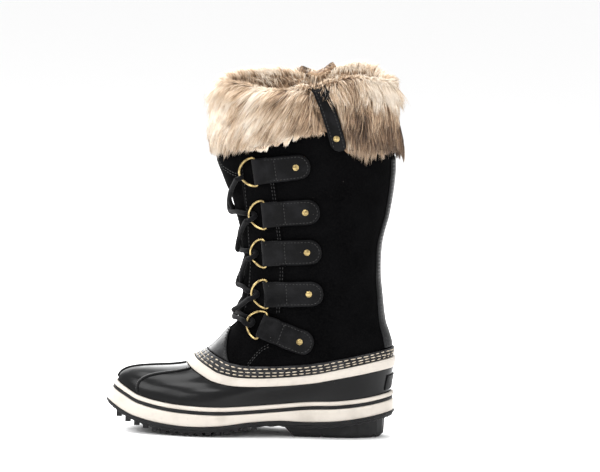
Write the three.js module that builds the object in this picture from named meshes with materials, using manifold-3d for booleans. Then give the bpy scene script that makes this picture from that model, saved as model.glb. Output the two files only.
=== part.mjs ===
// A tall winter boot for the right foot: a rubber foot with pale side bands, a laced suede shaft with
// leather ring tabs, and a deep fur cuff. Millimetres, +Z up. The toe points to -X and the inner side of
// the foot to -Y. The origin is on the floor, under the middle of the heel's flat.
import * as THREE from "three";
import { mergeVertices } from "three/addons/utils/BufferGeometryUtils.js";
import Module from "manifold-3d";

const wasm = await Module();
wasm.setup();

// Driving dimensions
const soleLength = 287;
const soleWidth = 105;
const heelBack = 52;
const toeSwing = 8;
const rimHeight = 27.5;
const toeLift = 31;
const sideHeight = 20;
const toeLean = 7.5;
const sideLean = 1.2;
const beadHeight = 4;
const stripeHeight = 3.4;
const bandThickness = 2.4;
const shellWall = 2.4;
const clearance = 0.3;
const looseClearance = 0.6;
const tongueClearance = 1.15;
const cuffClearance = 1.2;
const rimFlange = 1;
const plateThickness = 5;
const lugDepth = 2.4;
const lugPitch = 9;
const lugLength = 5.5;
const treadCrown = 3;
const heelInset = 9;
const heelBevel = 4;
const heelFront = 46;
const breastRun = 14;
const heelGroove = 2.5;
const grooveDepth = 2;
const insoleThickness = 5;
const shaftTop = 338;
const shaftWidth = 100;
const shaftDepth = 175;
const collarDip = 17;
const collarWidth = 78;
const shaftWall = 2.2;
const collarThickness = 4;
const shaftLean = 8.4;
const randThickness = 2;
const leatherThickness = 1.4;
const eyestayThickness = 0.9;
const tongueThickness = 3;
const hemDepth = 0.16;
const ridgeRadius = 1.7;
const ridgeSpacing = 17;
const badgeWidth = 39;
const badgeThickness = 1.3;
const backstayWidth = 34;
const tabHeight = 26;
const tabThickness = 2;
const tabLoopWall = 1.3;
const wireRadius = 1.15;
const ringHeight = 30.8;
const ringDepth = 19.5;
const rivetRadius = 3.2;
const rivetHeight = 1.6;
const laceRadius = 2.3;
const furDepth = 13;
const furLining = 10;
const lockLength = 24;
const lockWidth = 12;
const locksAround = 18;
const strapWidth = 16;
const strapThickness = 2.4;
const strapDent = 6;
const stations = 36;

const full = 2 * Math.PI;
const toe = Math.PI;
const degree = Math.PI / 180;
const plump = 0.8;

// Sections of the foot, a row for each share of the sole's length from the heel's back to the toe's tip.
// medial and lateral are shares of the sole's width, rim of the rim height, plate of the plate's thickness
// and side of the side height.
const footSections = [
  { at: 0, medial: 0.476, lateral: 0.476, rim: 1, plate: 0.8, side: 0.95, swing: 0 },
  { at: 0.1, medial: 0.476, lateral: 0.476, rim: 0.8, plate: 0.8, side: 0.97, swing: 0 },
  { at: 0.2, medial: 0.432, lateral: 0.445, rim: 0.647, plate: 0.85, side: 1.01, swing: 0 },
  { at: 0.3, medial: 0.381, lateral: 0.4, rim: 0.589, plate: 0.9, side: 1.015, swing: 0 },
  { at: 0.4, medial: 0.381, lateral: 0.41, rim: 0.613, plate: 0.8, side: 0.84, swing: 0 },
  { at: 0.5, medial: 0.426, lateral: 0.457, rim: 0.549, plate: 0.75, side: 0.815, swing: 0 },
  { at: 0.6, medial: 0.476, lateral: 0.533, rim: 0.403, plate: 0.95, side: 0.93, swing: 0 },
  { at: 0.7, medial: 0.505, lateral: 0.562, rim: 0.349, plate: 1, side: 1.02, swing: 0 },
  { at: 0.8, medial: 0.476, lateral: 0.571, rim: 0.407, plate: 0.95, side: 1.04, swing: 0.3 },
  { at: 0.9, medial: 0.44, lateral: 0.555, rim: 0.611, plate: 0.75, side: 1.05, swing: 0.75 },
  { at: 0.95, medial: 0.4, lateral: 0.5, rim: 0.818, plate: 0.65, side: 1.08, swing: 0.92 },
  { at: 1, medial: 0.35, lateral: 0.43, rim: toeLift / rimHeight, plate: 0.6, side: 0.97, swing: 1 },
];

// The shell's top edge, a row for each share of the way from the back to the front: how far it dips, as a
// share of the dip, and how wide it is, as a share of the collar's width.
const collarSections = [
  { at: 0, dip: 0, width: 1.07 },
  { at: 0.072, dip: 0.12, width: 1.09 },
  { at: 0.148, dip: 0.28, width: 1.08 },
  { at: 0.3, dip: 0.63, width: 0.96 },
  { at: 0.38, dip: 0.8, width: 0.92 },
  { at: 0.53, dip: 0.96, width: 0.93 },
  { at: 0.775, dip: 1, width: 1.13 },
  { at: 0.876, dip: 0.81, width: 1.18 },
  { at: 0.923, dip: 0.55, width: 1.2 },
  { at: 0.976, dip: 0.21, width: 1.2 },
  { at: 1, dip: 0, width: 1.2 },
];

// Rings of the suede shaft, from the shell's top edge upwards. front and rear are shares of the shaft's
// depth from the heel's middle, and the heights are shares of the shaft's top. half is a share of the
// shaft's width, dip of the collar's dip, foot says how much of the collar's outline is left, and throat is
// the half angle of the throat in degrees.
const shaftRings = [
  { at: 1, front: -0.877, frontZ: 0.197, rear: 0.276, rearZ: 0.211, half: 0.39, dip: 1, foot: 1, throat: 0 },
  { at: 2, front: -0.84, frontZ: 0.22, rear: 0.276, rearZ: 0.241, half: 0.39, dip: 1, foot: 1, throat: 0 },
  { at: 3, front: -0.771, frontZ: 0.243, rear: 0.28, rearZ: 0.269, half: 0.39, dip: 0.78, foot: 0.7, throat: 2 },
  { at: 4, front: -0.68, frontZ: 0.29, rear: 0.262, rearZ: 0.305, half: 0.395, dip: 0.5, foot: 0.35, throat: 6 },
  { at: 5, front: -0.606, frontZ: 0.343, rear: 0.237, rearZ: 0.346, half: 0.4, dip: 0.22, foot: 0, throat: 17 },
  { at: 6, front: -0.577, frontZ: 0.414, rear: 0.222, rearZ: 0.408, half: 0.425, dip: 0, foot: 0, throat: 22 },
  { at: 7, front: -0.566, frontZ: 0.503, rear: 0.209, rearZ: 0.497, half: 0.45, dip: 0, foot: 0, throat: 24 },
  { at: 8, front: -0.583, frontZ: 0.583, rear: 0.22, rearZ: 0.583, half: 0.465, dip: 0, foot: 0, throat: 26 },
  { at: 9, front: -0.617, frontZ: 0.666, rear: 0.257, rearZ: 0.66, half: 0.48, dip: 0, foot: 0, throat: 31 },
  { at: 10, front: -0.669, frontZ: 0.743, rear: 0.283, rearZ: 0.74, half: 0.49, dip: 0, foot: 0, throat: 37 },
  { at: 11, front: -0.72, frontZ: 0.811, rear: 0.294, rearZ: 0.814, half: 0.5, dip: 0, foot: 0, throat: 42 },
  { at: 12, front: -0.72, frontZ: 0.917, rear: 0.286, rearZ: 0.917, half: 0.505, dip: 0, foot: 0, throat: 45 },
  { at: 13, front: -0.697, frontZ: 1, rear: 0.274, rearZ: 1, half: 0.5, dip: 0, foot: 0, throat: 46 },
  { at: 14, front: -0.67, frontZ: 1.083, rear: 0.26, rearZ: 1.083, half: 0.49, dip: 0, foot: 0, throat: 46 },
];

const collarBottom = 1;
const collarTop = 2;
const randTop = 3;
const throatBottom = 4.45;
const shaftEnd = 13;

// A smooth reading of one column of a table at a place between its rows.
function read(rows, column, at) {
  const last = rows.length - 1;
  const place = Math.min(Math.max(at, rows[0].at), rows[last].at);
  let k = 0;
  while (k < last - 1 && place > rows[k + 1].at) k += 1;
  const slope = (i) => {
    const a = rows[Math.max(i - 1, 0)];
    const b = rows[Math.min(i + 1, last)];
    return (b[column] - a[column]) / (b.at - a.at);
  };
  const from = rows[k];
  const to = rows[k + 1];
  const run = to.at - from.at;
  const t = (place - from.at) / run;
  const start = (1 + 2 * t) * (1 - t) ** 2 * from[column];
  const end = t * t * (3 - 2 * t) * to[column];
  const leave = t * (1 - t) ** 2 * run * slope(k);
  const arrive = t * t * (t - 1) * run * slope(k + 1);
  return start + end + leave + arrive;
}

function shareOf(u) {
  return (1 - Math.cos(u)) / 2;
}

// -1 on the inner side of the foot and 1 on the outer side, rounded towards both ends.
function roundness(u, power) {
  const s = Math.sin(u);
  return -Math.sign(s) * Math.abs(s) ** power;
}

// The sole's outline in plan.
function outline(u) {
  const share = shareOf(u);
  const side = Math.sin(u) > 0 ? "medial" : "lateral";
  const half = read(footSections, side, share) * soleWidth;
  const swing = read(footSections, "swing", share) * toeSwing;
  return new THREE.Vector2(heelBack - soleLength * share, roundness(u, plump) * half - swing);
}

// The direction out of the outline in plan.
function outlineNormal(u) {
  const step = 0.01;
  const along = outline(u + step).sub(outline(u - step));
  return new THREE.Vector2(-along.y, along.x).normalize();
}

function rimAt(u) {
  return read(footSections, "rim", shareOf(u)) * rimHeight;
}

// A point of the boot's side between the sole's rim, at 0, and the top of the pale bead, at 1.
function sidePoint(u, height, out) {
  const share = shareOf(u);
  const lean = sideLean + (toeLean - sideLean) * share ** 6;
  const place = outline(u).addScaledVector(outlineNormal(u), out - lean * height);
  const rise = read(footSections, "side", share) * sideHeight;
  return new THREE.Vector3(place.x, place.y, rimAt(u) + rise * height);
}

// The height on the side of a place so many millimetres under the bead's top.
function underBead(u, drop) {
  return 1 - drop / (read(footSections, "side", shareOf(u)) * sideHeight);
}

// How far the shaft has leaned forward at a height.
function leanAt(z) {
  const foot = 0.2 * shaftTop;
  return (shaftLean * Math.max(z - foot, 0)) / (shaftTop - foot);
}

// A point of the shaft's outside, on a ring of the table.
function shaftPoint(u, level) {
  const share = shareOf(u);
  const column = (name) => read(shaftRings, name, level);
  const outlineShare = read(collarSections, "width", share);
  const flare = 1 + column("foot") * (outlineShare - 1);
  const foot = column("half") * (1 - column("foot")) * shaftWidth + column("foot") * collarWidth / 2;
  const front = column("front") * shaftDepth;
  const rear = column("rear") * shaftDepth;
  const dip = column("dip") * read(collarSections, "dip", share) * collarDip;
  const rise = column("rearZ") + (column("frontZ") - column("rearZ")) * share;
  const z = rise * shaftTop - dip;
  return new THREE.Vector3(
    rear + (front - rear) * share - leanAt(z),
    roundness(u, plump + 0.1 * (1 - column("foot"))) * foot * flare,
    z,
  );
}

// A point moved out along the normal of a surface of two values.
function raise(surface, u, v, out) {
  const step = 0.004;
  const across = surface(u + step, v).sub(surface(u - step, v));
  const up = surface(u, v + step).sub(surface(u, v - step));
  const normal = up.cross(across).normalize();
  return surface(u, v).addScaledVector(normal, out);
}

function shaft(u, level, out) {
  return raise(shaftPoint, u, level, out);
}

// A point of the rubber foot's outside, from the bead's top, at 0, to the shell's top edge, at 1.
function shellPoint(u, v) {
  const low = sidePoint(u, 1, -bandThickness - looseClearance);
  const high = shaft(u, collarBottom, shellWall + clearance);
  const reach = high.distanceTo(low);
  const rising = 0.82 * reach;
  const t = v;
  const point = low.clone().multiplyScalar((1 + 2 * t) * (1 - t) ** 2);
  point.addScaledVector(high, t * t * (3 - 2 * t));
  point.z += t * (1 - t) ** 2 * rising;
  return point.addScaledVector(high.sub(low), t * t * (t - 1) * 1.05);
}

function shell(u, v, out) {
  return raise(shellPoint, u, v, out);
}

// The place on the shaft at x and z seen from the side, where x leaves out the lean. side is -1 for the
// inner side.
function shaftPlace(x, z, side) {
  let level = 8;
  let u = toe / 2;
  for (let turn = 0; turn < 60; turn += 1) {
    const front = read(shaftRings, "front", level) * shaftDepth;
    const rear = read(shaftRings, "rear", level) * shaftDepth;
    const share = Math.min(Math.max((rear - x) / (rear - front), 0.001), 0.999);
    u = Math.acos(1 - 2 * share);
    level += (z - shaftPoint(u, level).z) / 40;
  }
  return { u: side < 0 ? u : -u, level };
}

function onShaft(x, z, side, out) {
  const place = shaftPlace(x, z, side);
  return shaft(place.u, place.level, out);
}

// Solids
function geometryOf(points, faces) {
  const geometry = new THREE.BufferGeometry();
  geometry.setAttribute("position", new THREE.Float32BufferAttribute(points.flatMap((p) => [p.x, p.y, p.z]), 3));
  geometry.setIndex(faces);
  return geometry;
}

function toManifold(geometry) {
  const bare = geometry.clone();
  bare.deleteAttribute("normal");
  bare.deleteAttribute("uv");
  const merged = mergeVertices(bare, 1e-4);
  const triangles = new Uint32Array(merged.index.array);
  const vertices = merged.attributes.position.array;
  let solid = new wasm.Manifold(new wasm.Mesh({ numProp: 3, vertProperties: vertices, triVerts: triangles }));
  if (solid.volume() < 0) {
    for (let i = 0; i < triangles.length; i += 3) triangles.subarray(i, i + 3).reverse();
    solid = new wasm.Manifold(new wasm.Mesh({ numProp: 3, vertProperties: vertices, triVerts: triangles }));
  }
  return solid;
}

function fromManifold(solid) {
  const mesh = solid.getMesh();
  const geometry = new THREE.BufferGeometry();
  geometry.setAttribute("position", new THREE.BufferAttribute(new Float32Array(mesh.vertProperties), 3));
  geometry.setIndex(new THREE.BufferAttribute(new Uint32Array(mesh.triVerts), 1));
  return geometry;
}

// Two triangles between two neighbouring rows of points.
function quad(faces, a, b, c, d) {
  faces.push(a, b, c, a, c, d);
}

// A closed hoop: each section is a closed loop of points, joined to the next section, the last to the first.
function hoop(sections) {
  const size = sections[0].length;
  const count = sections.length;
  const faces = [];
  for (let i = 0; i < count; i += 1) {
    for (let j = 0; j < size; j += 1) {
      const next = (j + 1) % size;
      const on = (i + 1) % count;
      quad(faces, i * size + j, i * size + next, on * size + next, on * size + j);
    }
  }
  return toManifold(geometryOf(sections.flat(), faces));
}

// A plate between an outer and an inner grid of points of the same size.
function plate(outer, inner) {
  const rows = outer.length;
  const columns = outer[0].length;
  const faces = [];
  const place = (i, j) => i * columns + j;
  const under = (i, j) => rows * columns + i * columns + j;
  for (let i = 0; i < rows - 1; i += 1) {
    for (let j = 0; j < columns - 1; j += 1) {
      quad(faces, place(i, j), place(i, j + 1), place(i + 1, j + 1), place(i + 1, j));
      quad(faces, under(i, j), under(i + 1, j), under(i + 1, j + 1), under(i, j + 1));
    }
    quad(faces, place(i, 0), place(i + 1, 0), under(i + 1, 0), under(i, 0));
    const end = columns - 1;
    quad(faces, place(i, end), under(i, end), under(i + 1, end), place(i + 1, end));
  }
  for (let j = 0; j < columns - 1; j += 1) {
    quad(faces, place(0, j), under(0, j), under(0, j + 1), place(0, j + 1));
    const end = rows - 1;
    quad(faces, place(end, j), place(end, j + 1), under(end, j + 1), under(end, j));
  }
  return toManifold(geometryOf([...outer.flat(), ...inner.flat()], faces));
}

// A stack of level outlines with the same number of points, closed below and above from side to side.
function stack(rings) {
  const size = rings[0].length;
  const faces = [];
  for (let k = 0; k < rings.length - 1; k += 1) {
    for (let i = 0; i < size; i += 1) {
      const next = (i + 1) % size;
      quad(faces, k * size + i, k * size + next, (k + 1) * size + next, (k + 1) * size + i);
    }
  }
  const top = (rings.length - 1) * size;
  for (let i = 0; i < size / 2; i += 1) {
    const across = (size - i) % size;
    const beyond = size - i - 1;
    if (i > 0) faces.push(i, across, beyond);
    if (i + 1 < size / 2) faces.push(i, beyond, i + 1);
    if (i > 0) faces.push(top + i, top + beyond, top + across);
    if (i + 1 < size / 2) faces.push(top + i, top + i + 1, top + beyond);
  }
  return toManifold(geometryOf(rings.flat(), faces));
}

function around(count, make) {
  return Array.from({ length: count }, (_, i) => make((i / count) * full));
}

function run(count, make) {
  return Array.from({ length: count + 1 }, (_, i) => make(i / count));
}

function mix(a, b, t) {
  return a + (b - a) * t;
}

// A cord or wire of round section along a smooth line through the points.
function cord(points, radius, sides, steps) {
  const section = new THREE.Shape();
  for (let i = 0; i < sides; i += 1) {
    const angle = (i / sides) * full;
    const x = radius * Math.cos(angle);
    const y = radius * Math.sin(angle);
    if (i === 0) section.moveTo(x, y);
    else section.lineTo(x, y);
  }
  section.closePath();
  const path = new THREE.CatmullRomCurve3(points);
  return toManifold(new THREE.ExtrudeGeometry(section, { steps, extrudePath: path, bevelEnabled: false }));
}

// The object
const boot = new THREE.Group();
const finishes = {
  rubber: { color: 0x131314, roughness: 0.28, metalness: 0 },
  soleRubber: { color: 0x1a1a1b, roughness: 0.7, metalness: 0 },
  paleRubber: { color: 0xddd5c9, roughness: 0.5, metalness: 0 },
  suede: { color: 0x0d0d0e, roughness: 0.95, metalness: 0 },
  leather: { color: 0x222325, roughness: 0.5, metalness: 0 },
  brass: { color: 0xb59a5a, roughness: 0.35, metalness: 1 },
  cord: { color: 0x1b1b1d, roughness: 0.85, metalness: 0 },
  fur: { color: 0xcbb59c, roughness: 0.95, metalness: 0 },
  felt: { color: 0x6b6660, roughness: 0.95, metalness: 0 },
};

function add(name, solid, finish) {
  const mesh = new THREE.Mesh(fromManifold(solid), new THREE.MeshStandardMaterial(finishes[finish]));
  mesh.name = name;
  boot.add(mesh);
}

// Sole
function lugBottom(x, y, u) {
  const share = shareOf(u);
  const depth = read(footSections, "plate", share) * plateThickness + lugDepth;
  const half = soleWidth / 2;
  const crown = treadCrown * (1 - Math.abs(y / half) ** 3);
  return Math.max(0, rimAt(u) - depth - crown);
}

function lug(x, low, high) {
  const u = Math.acos(1 - (2 * (heelBack - x)) / soleLength);
  const plateBottom = rimAt(u) - read(footSections, "plate", shareOf(u)) * plateThickness;
  const corner = (side, y, z) => new THREE.Vector3(x + side * lugLength / 2, y, z);
  const level = (z) => [
    [low, (low + high) / 2, high].map((y) => corner(-1, y, z(y))),
    [low, (low + high) / 2, high].map((y) => corner(1, y, z(y))),
  ];
  return plate(level(() => plateBottom + 1.5), level((y) => lugBottom(x, y, u)));
}

function heelRing(z, inset, front) {
  const share = (heelBack + front) / soleLength;
  const reach = Math.acos(1 - 2 * share);
  const points = run(17, (t) => {
    const u = mix(-reach, reach, t);
    const place = outline(u).addScaledVector(outlineNormal(u), -inset);
    return new THREE.Vector3(place.x, place.y, z(u));
  });
  return [...points.slice(9), ...points.slice(0, 9)];
}

function makeOutsole() {
  const bottom = (u) => rimAt(u) - read(footSections, "plate", shareOf(u)) * plateThickness;
  const ring = (z, out) => around(stations, (u) => {
    const place = outline(u).addScaledVector(outlineNormal(u), out);
    return new THREE.Vector3(place.x, place.y, z(u));
  });
  let sole = stack([
    ring(bottom, -lugDepth),
    ring((u) => mix(bottom(u), rimAt(u), 0.45), rimFlange),
    ring(rimAt, rimFlange),
  ]);
  const heel = stack([
    heelRing(() => 0, heelInset + heelBevel, heelFront),
    heelRing(() => heelBevel, heelInset, heelFront + breastRun / 4),
    heelRing((u) => bottom(u) + 1.5, heelInset - 1, heelFront + breastRun),
  ]);
  sole = sole.add(heel);
  for (const share of [0.12, 0.3]) {
    const groove = new THREE.BoxGeometry(heelGroove, soleWidth, 2 * grooveDepth);
    groove.translate(heelBack - share * soleLength + heelFront / 3, 0, 0);
    sole = sole.subtract(toManifold(groove));
  }
  const firstLug = heelBack - 0.955 * soleLength;
  const lastLug = heelBack - 0.47 * soleLength;
  for (let x = firstLug; x < lastLug; x += lugPitch) {
    const u = Math.acos(1 - (2 * (heelBack - x)) / soleLength);
    const medial = outline(u).y + lugDepth;
    const lateral = outline(-u).y - lugDepth;
    const middle = (medial + lateral) / 2;
    const slit = lugPitch - lugLength;
    sole = sole.add(lug(x, medial, middle - slit / 2));
    sole = sole.add(lug(x, middle + slit / 2, lateral));
  }
  return sole;
}

function band(lowDrop, highDrop, outs) {
  return hoop(around(stations, (u) => {
    const low = lowDrop === null ? 0 : underBead(u, lowDrop);
    const high = underBead(u, highDrop);
    const lift = lowDrop === null ? clearance / sideHeight : 0;
    return [
      sidePoint(u, low + lift, outs.low),
      ...(outs.middle ? [sidePoint(u, (low + high) / 2, outs.middle)] : []),
      sidePoint(u, high, outs.high),
      sidePoint(u, high, -bandThickness),
      sidePoint(u, low + lift, -bandThickness),
    ];
  }));
}

function makeShell() {
  const foot = clearance / sideHeight;
  const wall = -bandThickness - looseClearance;
  let solid = hoop(around(stations, (u) => [
    sidePoint(u, foot, wall),
    ...[0, 0.14, 0.32, 0.54, 0.77, 1].map((v) => shell(u, v, 0)),
    shaft(u, collarBottom, clearance),
    ...[1 - hemDepth, 0.6, 0.3, 0].map((v) => shell(u, v, -shellWall)),
    sidePoint(u, foot, wall - shellWall),
  ]));
  for (const side of [-1, 0, 1]) {
    const points = run(8, (t) => {
      const spread = side * ridgeSpacing * mix(2.1, 0.94, t) * degree;
      return shell(toe + spread, mix(0.07, 0.96, t), 0);
    });
    solid = solid.add(cord(points, ridgeRadius, 4, 8));
  }
  return solid;
}

function makeInsole() {
  const inset = -bandThickness - looseClearance - shellWall - 2 * looseClearance;
  const ring = (rise) => around(stations, (u) => sidePoint(u, 1 - underBead(u, rise), inset));
  return stack([ring(clearance), ring(clearance + insoleThickness)]);
}

// Shaft: the gap between two bands, as a share of the way between two rings.
const levelGap = 0.035;

function shaftBand(low, high, thickness) {
  return hoop(around(stations, (u) => [
    shaft(u, low, looseClearance),
    shaft(u, low, thickness + clearance),
    shaft(u, high, thickness + clearance),
    shaft(u, high, looseClearance),
  ]));
}

// The shaft as one filled form, so far outside its suede. Overlays are cut by it.
const shaftRows = [1, 2, 3, 4, 5, 6, 7, 8.5, 10, 11, shaftEnd];

function shaftForm(out) {
  return stack(shaftRows.map((level) => around(stations, (u) => shaft(u, level, out))));
}

function throatHalf(level) {
  return read(shaftRings, "throat", level) * degree;
}

// A plate that follows the shaft between two rings. edges gives its two angles at a ring.
function overlay(low, high, columns, edges, under, thickness) {
  const inside = shaftRows.filter((level) => level > low + 0.2 && level < high - 0.2);
  const grid = (out) => [low, ...inside, high].map((level) => {
    const [from, to] = edges(level);
    return run(columns, (t) => shaft(mix(from, to, t), level, out(level, t)));
  });
  return plate(grid((level, t) => under(level, t) + thickness), grid(under));
}

// A leather or suede overlay, seated on the shaft.
function seated(low, high, columns, edges, thickness) {
  const depth = 2 * shaftWall;
  const block = overlay(low, high, columns, edges, () => clearance - depth, depth + thickness);
  return block.subtract(shaftForm(clearance));
}

function makeUpper() {
  const hem = -shellWall - looseClearance;
  const body = hoop(around(stations, (u) => [
    shell(u, 1 - hemDepth, hem),
    ...shaftRows.map((level) => shaft(u, level, 0)),
    ...[shaftEnd, 11, 8.5, 7, 5, 3, 1].map((level) => shaft(u, level, -shaftWall)),
    shell(u, 1 - hemDepth, hem - shaftWall),
  ]));
  const beyond = 4 * shaftWall;
  const edges = (level) => [toe - throatHalf(level), toe + throatHalf(level)];
  const cutter = overlay(throatBottom, shaftEnd + 1, 4, edges, () => -beyond, 2 * beyond);
  return body.subtract(cutter);
}

function makeTongue() {
  const lap = 10 * degree;
  const edges = (level) => [toe - throatHalf(level) - lap, toe + throatHalf(level) + lap];
  const deep = -shaftWall - tongueClearance - tongueThickness;
  const under = (level, t) => {
    const open = Math.max(0, 1 - ((2 * t - 1) / 0.7) ** 2);
    const risen = Math.min(1, Math.max(0, (level - throatBottom) / 0.8));
    return deep + open * risen * (shaftWall + tongueClearance);
  };
  return overlay(throatBottom - 0.35, 11.6, 6, edges, under, tongueThickness);
}

function makeVamp() {
  const half = (level) => mix(40, 9, (level - randTop) / (throatBottom - randTop)) * degree;
  const edges = (level) => [toe - half(level), toe + half(level)];
  return seated(randTop + levelGap, throatBottom - 0.05, 6, edges, leatherThickness);
}

function makeBackstay() {
  const edges = (level) => {
    const half = read(shaftRings, "half", level) * shaftWidth;
    const angle = Math.asin((backstayWidth / 2 / half) ** (1 / (plump + 0.1)));
    return [-angle, angle];
  };
  return seated(randTop + 0.1, 11.2, 4, edges, leatherThickness);
}

// The seam behind the throat, as a share of the shaft's depth at each ring.
const eyestaySeam = [
  { at: 4.7, x: -0.36 },
  { at: 6, x: -0.345 },
  { at: 7, x: -0.331 },
  { at: 9, x: -0.36 },
  { at: 11, x: -0.4 },
  { at: 12, x: -0.42 },
];

function makeEyestay(side) {
  const edges = (level) => {
    const front = read(shaftRings, "front", level) * shaftDepth;
    const rear = read(shaftRings, "rear", level) * shaftDepth;
    const seam = read(eyestaySeam, "x", level) * shaftDepth;
    const share = (rear - seam) / (rear - front);
    const back = Math.acos(1 - 2 * share);
    const lip = toe - throatHalf(level) - degree;
    return side < 0 ? [back, lip] : [-back, -lip];
  };
  return seated(5.45, 11.1, 4, edges, eyestayThickness);
}

function makeBadge() {
  const heelWidth = 2 * footSections[0].medial * soleWidth;
  const half = Math.asin((badgeWidth / heelWidth) ** (1 / plump));
  const grid = (out) => run(2, (s) => run(4, (t) => shell(mix(-half, half, t), mix(0.14, 0.74, s), out)));
  const seat = clearance + 0.1;
  return plate(grid(seat + badgeThickness), grid(seat));
}

// Ring tabs, from the top one down. bar is where the ring's bar lies, as shares of the shaft's depth and
// top, tilt is in degrees, down towards the back, and length runs from the bar to the tab's round end, as
// a share of the shaft's depth.
const tabs = [
  { barX: -0.486, barZ: 0.791, tilt: -8.5, length: 0.303 },
  { barX: -0.434, barZ: 0.664, tilt: -6, length: 0.303 },
  { barX: -0.431, barZ: 0.5485, tilt: -4.5, length: 0.309 },
  { barX: -0.423, barZ: 0.4265, tilt: -3.5, length: 0.311 },
  { barX: -0.45, barZ: 0.3285, tilt: 20, length: 0.297 },
];

const loopRadius = wireRadius + clearance + tabLoopWall;
const tabLift = clearance + eyestayThickness + looseClearance + clearance;
const barLift = tabLift + loopRadius - 0.1;

// The frame of a tab on the shaft: along runs to its round end and up along its bar.
function tabFrame(tab, side) {
  const tilt = tab.tilt * degree;
  const x = tab.barX * shaftDepth;
  const z = tab.barZ * shaftTop;
  const at = (along, up, out) => onShaft(
    x + along * Math.cos(tilt) + up * Math.sin(tilt),
    z - along * Math.sin(tilt) + up * Math.cos(tilt),
    side,
    out,
  );
  const up = at(0, 8, barLift).sub(at(0, -8, barLift)).normalize();
  const bar = at(0, 0, barLift);
  return { at, up, bar };
}

function makeTab(tab, side) {
  const { at, up, bar } = tabFrame(tab, side);
  const radius = tabHeight / 2;
  const length = tab.length * shaftDepth;
  const straight = length - radius;
  const stops = [0, 0.35, 0.76, 0.9, 1];
  const half = (along) => {
    if (along < straight) return radius - clearance;
    return Math.max(Math.sqrt(Math.max(radius ** 2 - (along - straight) ** 2, 0)), 2.5);
  };
  const grid = (out) => stops.map((stop) => {
    const along = stop * length;
    return run(1, (t) => at(along, mix(-half(along), half(along), t), out));
  });
  let solid = plate(grid(tabLift + tabThickness), grid(tabLift));
  const reach = up.clone().multiplyScalar(radius - clearance);
  const ends = [bar.clone().sub(reach), bar.clone().add(reach)];
  const tunnel = up.clone().multiplyScalar(radius + 2);
  const bore = [bar.clone().sub(tunnel), bar.clone().add(tunnel)];
  solid = solid.add(cord(ends, loopRadius, 8, 1));
  return solid.subtract(cord(bore, (wireRadius + clearance) / Math.cos(toe / 6), 6, 1));
}

// The ring's plane leans from its bar towards the throat.
function ringFrame(tab, side) {
  const { at, up, bar } = tabFrame(tab, side);
  const forward = at(-0.85 * ringDepth, 0, barLift).sub(bar).normalize();
  return { up, bar, forward, out: new THREE.Vector3().crossVectors(forward, up).normalize() };
}

const ringOutline = [
  { along: 0, up: 0 },
  { along: 0, up: 0.97 },
  { along: 0.08, up: 1.01 },
  { along: 0.3, up: 0.97 },
  { along: 0.6, up: 0.8 },
  { along: 0.85, up: 0.5 },
  { along: 1, up: 0 },
];

function ringPoint(frame, along, up) {
  const point = frame.bar.clone().addScaledVector(frame.forward, along * (ringDepth - wireRadius));
  return point.addScaledVector(frame.up, up * (ringHeight / 2 - wireRadius));
}

function makeRing(tab, side) {
  const frame = ringFrame(tab, side);
  const half = ringOutline.map((row) => ringPoint(frame, row.along, row.up));
  const mirrored = ringOutline.slice(1, -1).map((row) => ringPoint(frame, row.along, -row.up));
  const path = [...half, ...mirrored.reverse()];
  const sides = 5;
  return hoop(path.map((point, i) => {
    const before = path[(i + path.length - 1) % path.length];
    const after = path[(i + 1) % path.length];
    const across = new THREE.Vector3().crossVectors(after.clone().sub(before).normalize(), frame.out);
    return Array.from({ length: sides }, (_, k) => {
      const angle = (k / sides) * full;
      const side = point.clone().addScaledVector(across, wireRadius * Math.cos(angle));
      return side.addScaledVector(frame.out, wireRadius * Math.sin(angle));
    });
  }));
}

function rivetAt(point, normal) {
  const profile = [
    [0, 0],
    [rivetRadius, 0],
    [0.75 * rivetRadius, rivetHeight],
    [0, rivetHeight],
  ];
  const dome = new THREE.LatheGeometry(profile.map(([x, y]) => new THREE.Vector2(x, y)), 8);
  const turn = new THREE.Quaternion().setFromUnitVectors(new THREE.Vector3(0, 1, 0), normal);
  dome.applyQuaternion(turn);
  dome.translate(point.x, point.y, point.z);
  return toManifold(dome);
}

function makeRivet(tab, side) {
  const { at } = tabFrame(tab, side);
  const along = tab.length * shaftDepth - 0.55 * tabHeight;
  const seat = at(along, 0, tabLift + tabThickness + 0.5);
  const above = at(along, 0, tabLift + tabThickness + 4);
  return rivetAt(seat, above.sub(seat).normalize());
}

// The lace's crossings, from the top one down: the height of each, as a share of the shaft's top.
const crossings = [0.663, 0.545, 0.441, 0.358];
const barHeight = 0.338;

// A place of the lace over the shaft, between a ring and the middle of the throat.
function laceShoulder(side, x, z) {
  const edge = shaftPlace(x + leanAt(z), z, side);
  const u = mix(toe, edge.u < 0 ? full + edge.u : edge.u, 0.62);
  return shaft(u, edge.level, laceRadius + 3);
}

function laceMiddle(z) {
  return shaft(toe, shaftPlace(-shaftDepth, z, 1).level, laceRadius + 1.1);
}

// Where the lace comes to a ring from the throat.
function laceEnd(ring, up) {
  return ringPoint(ring, 1, up).addScaledVector(ring.forward, wireRadius + 0.6);
}

function laceStrand(upper, lower, height, side) {
  const from = ringFrame(upper, side);
  const over = side * (wireRadius + laceRadius + 0.5);
  const start = ringPoint(from, 0.7, -0.28).addScaledVector(from.out, over);
  const bend = ringPoint(from, 1.08, -0.42).addScaledVector(from.out, over);
  const z = height * shaftTop;
  const arrive = laceEnd(ringFrame(lower, -side), 0.2);
  const high = laceShoulder(side, bend.x, mix(z, bend.z, 0.45));
  const low = laceShoulder(-side, arrive.x, mix(z, arrive.z, 0.35));
  return cord([start, bend, high, laceMiddle(z), low, arrive], laceRadius, 6, 7);
}

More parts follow.
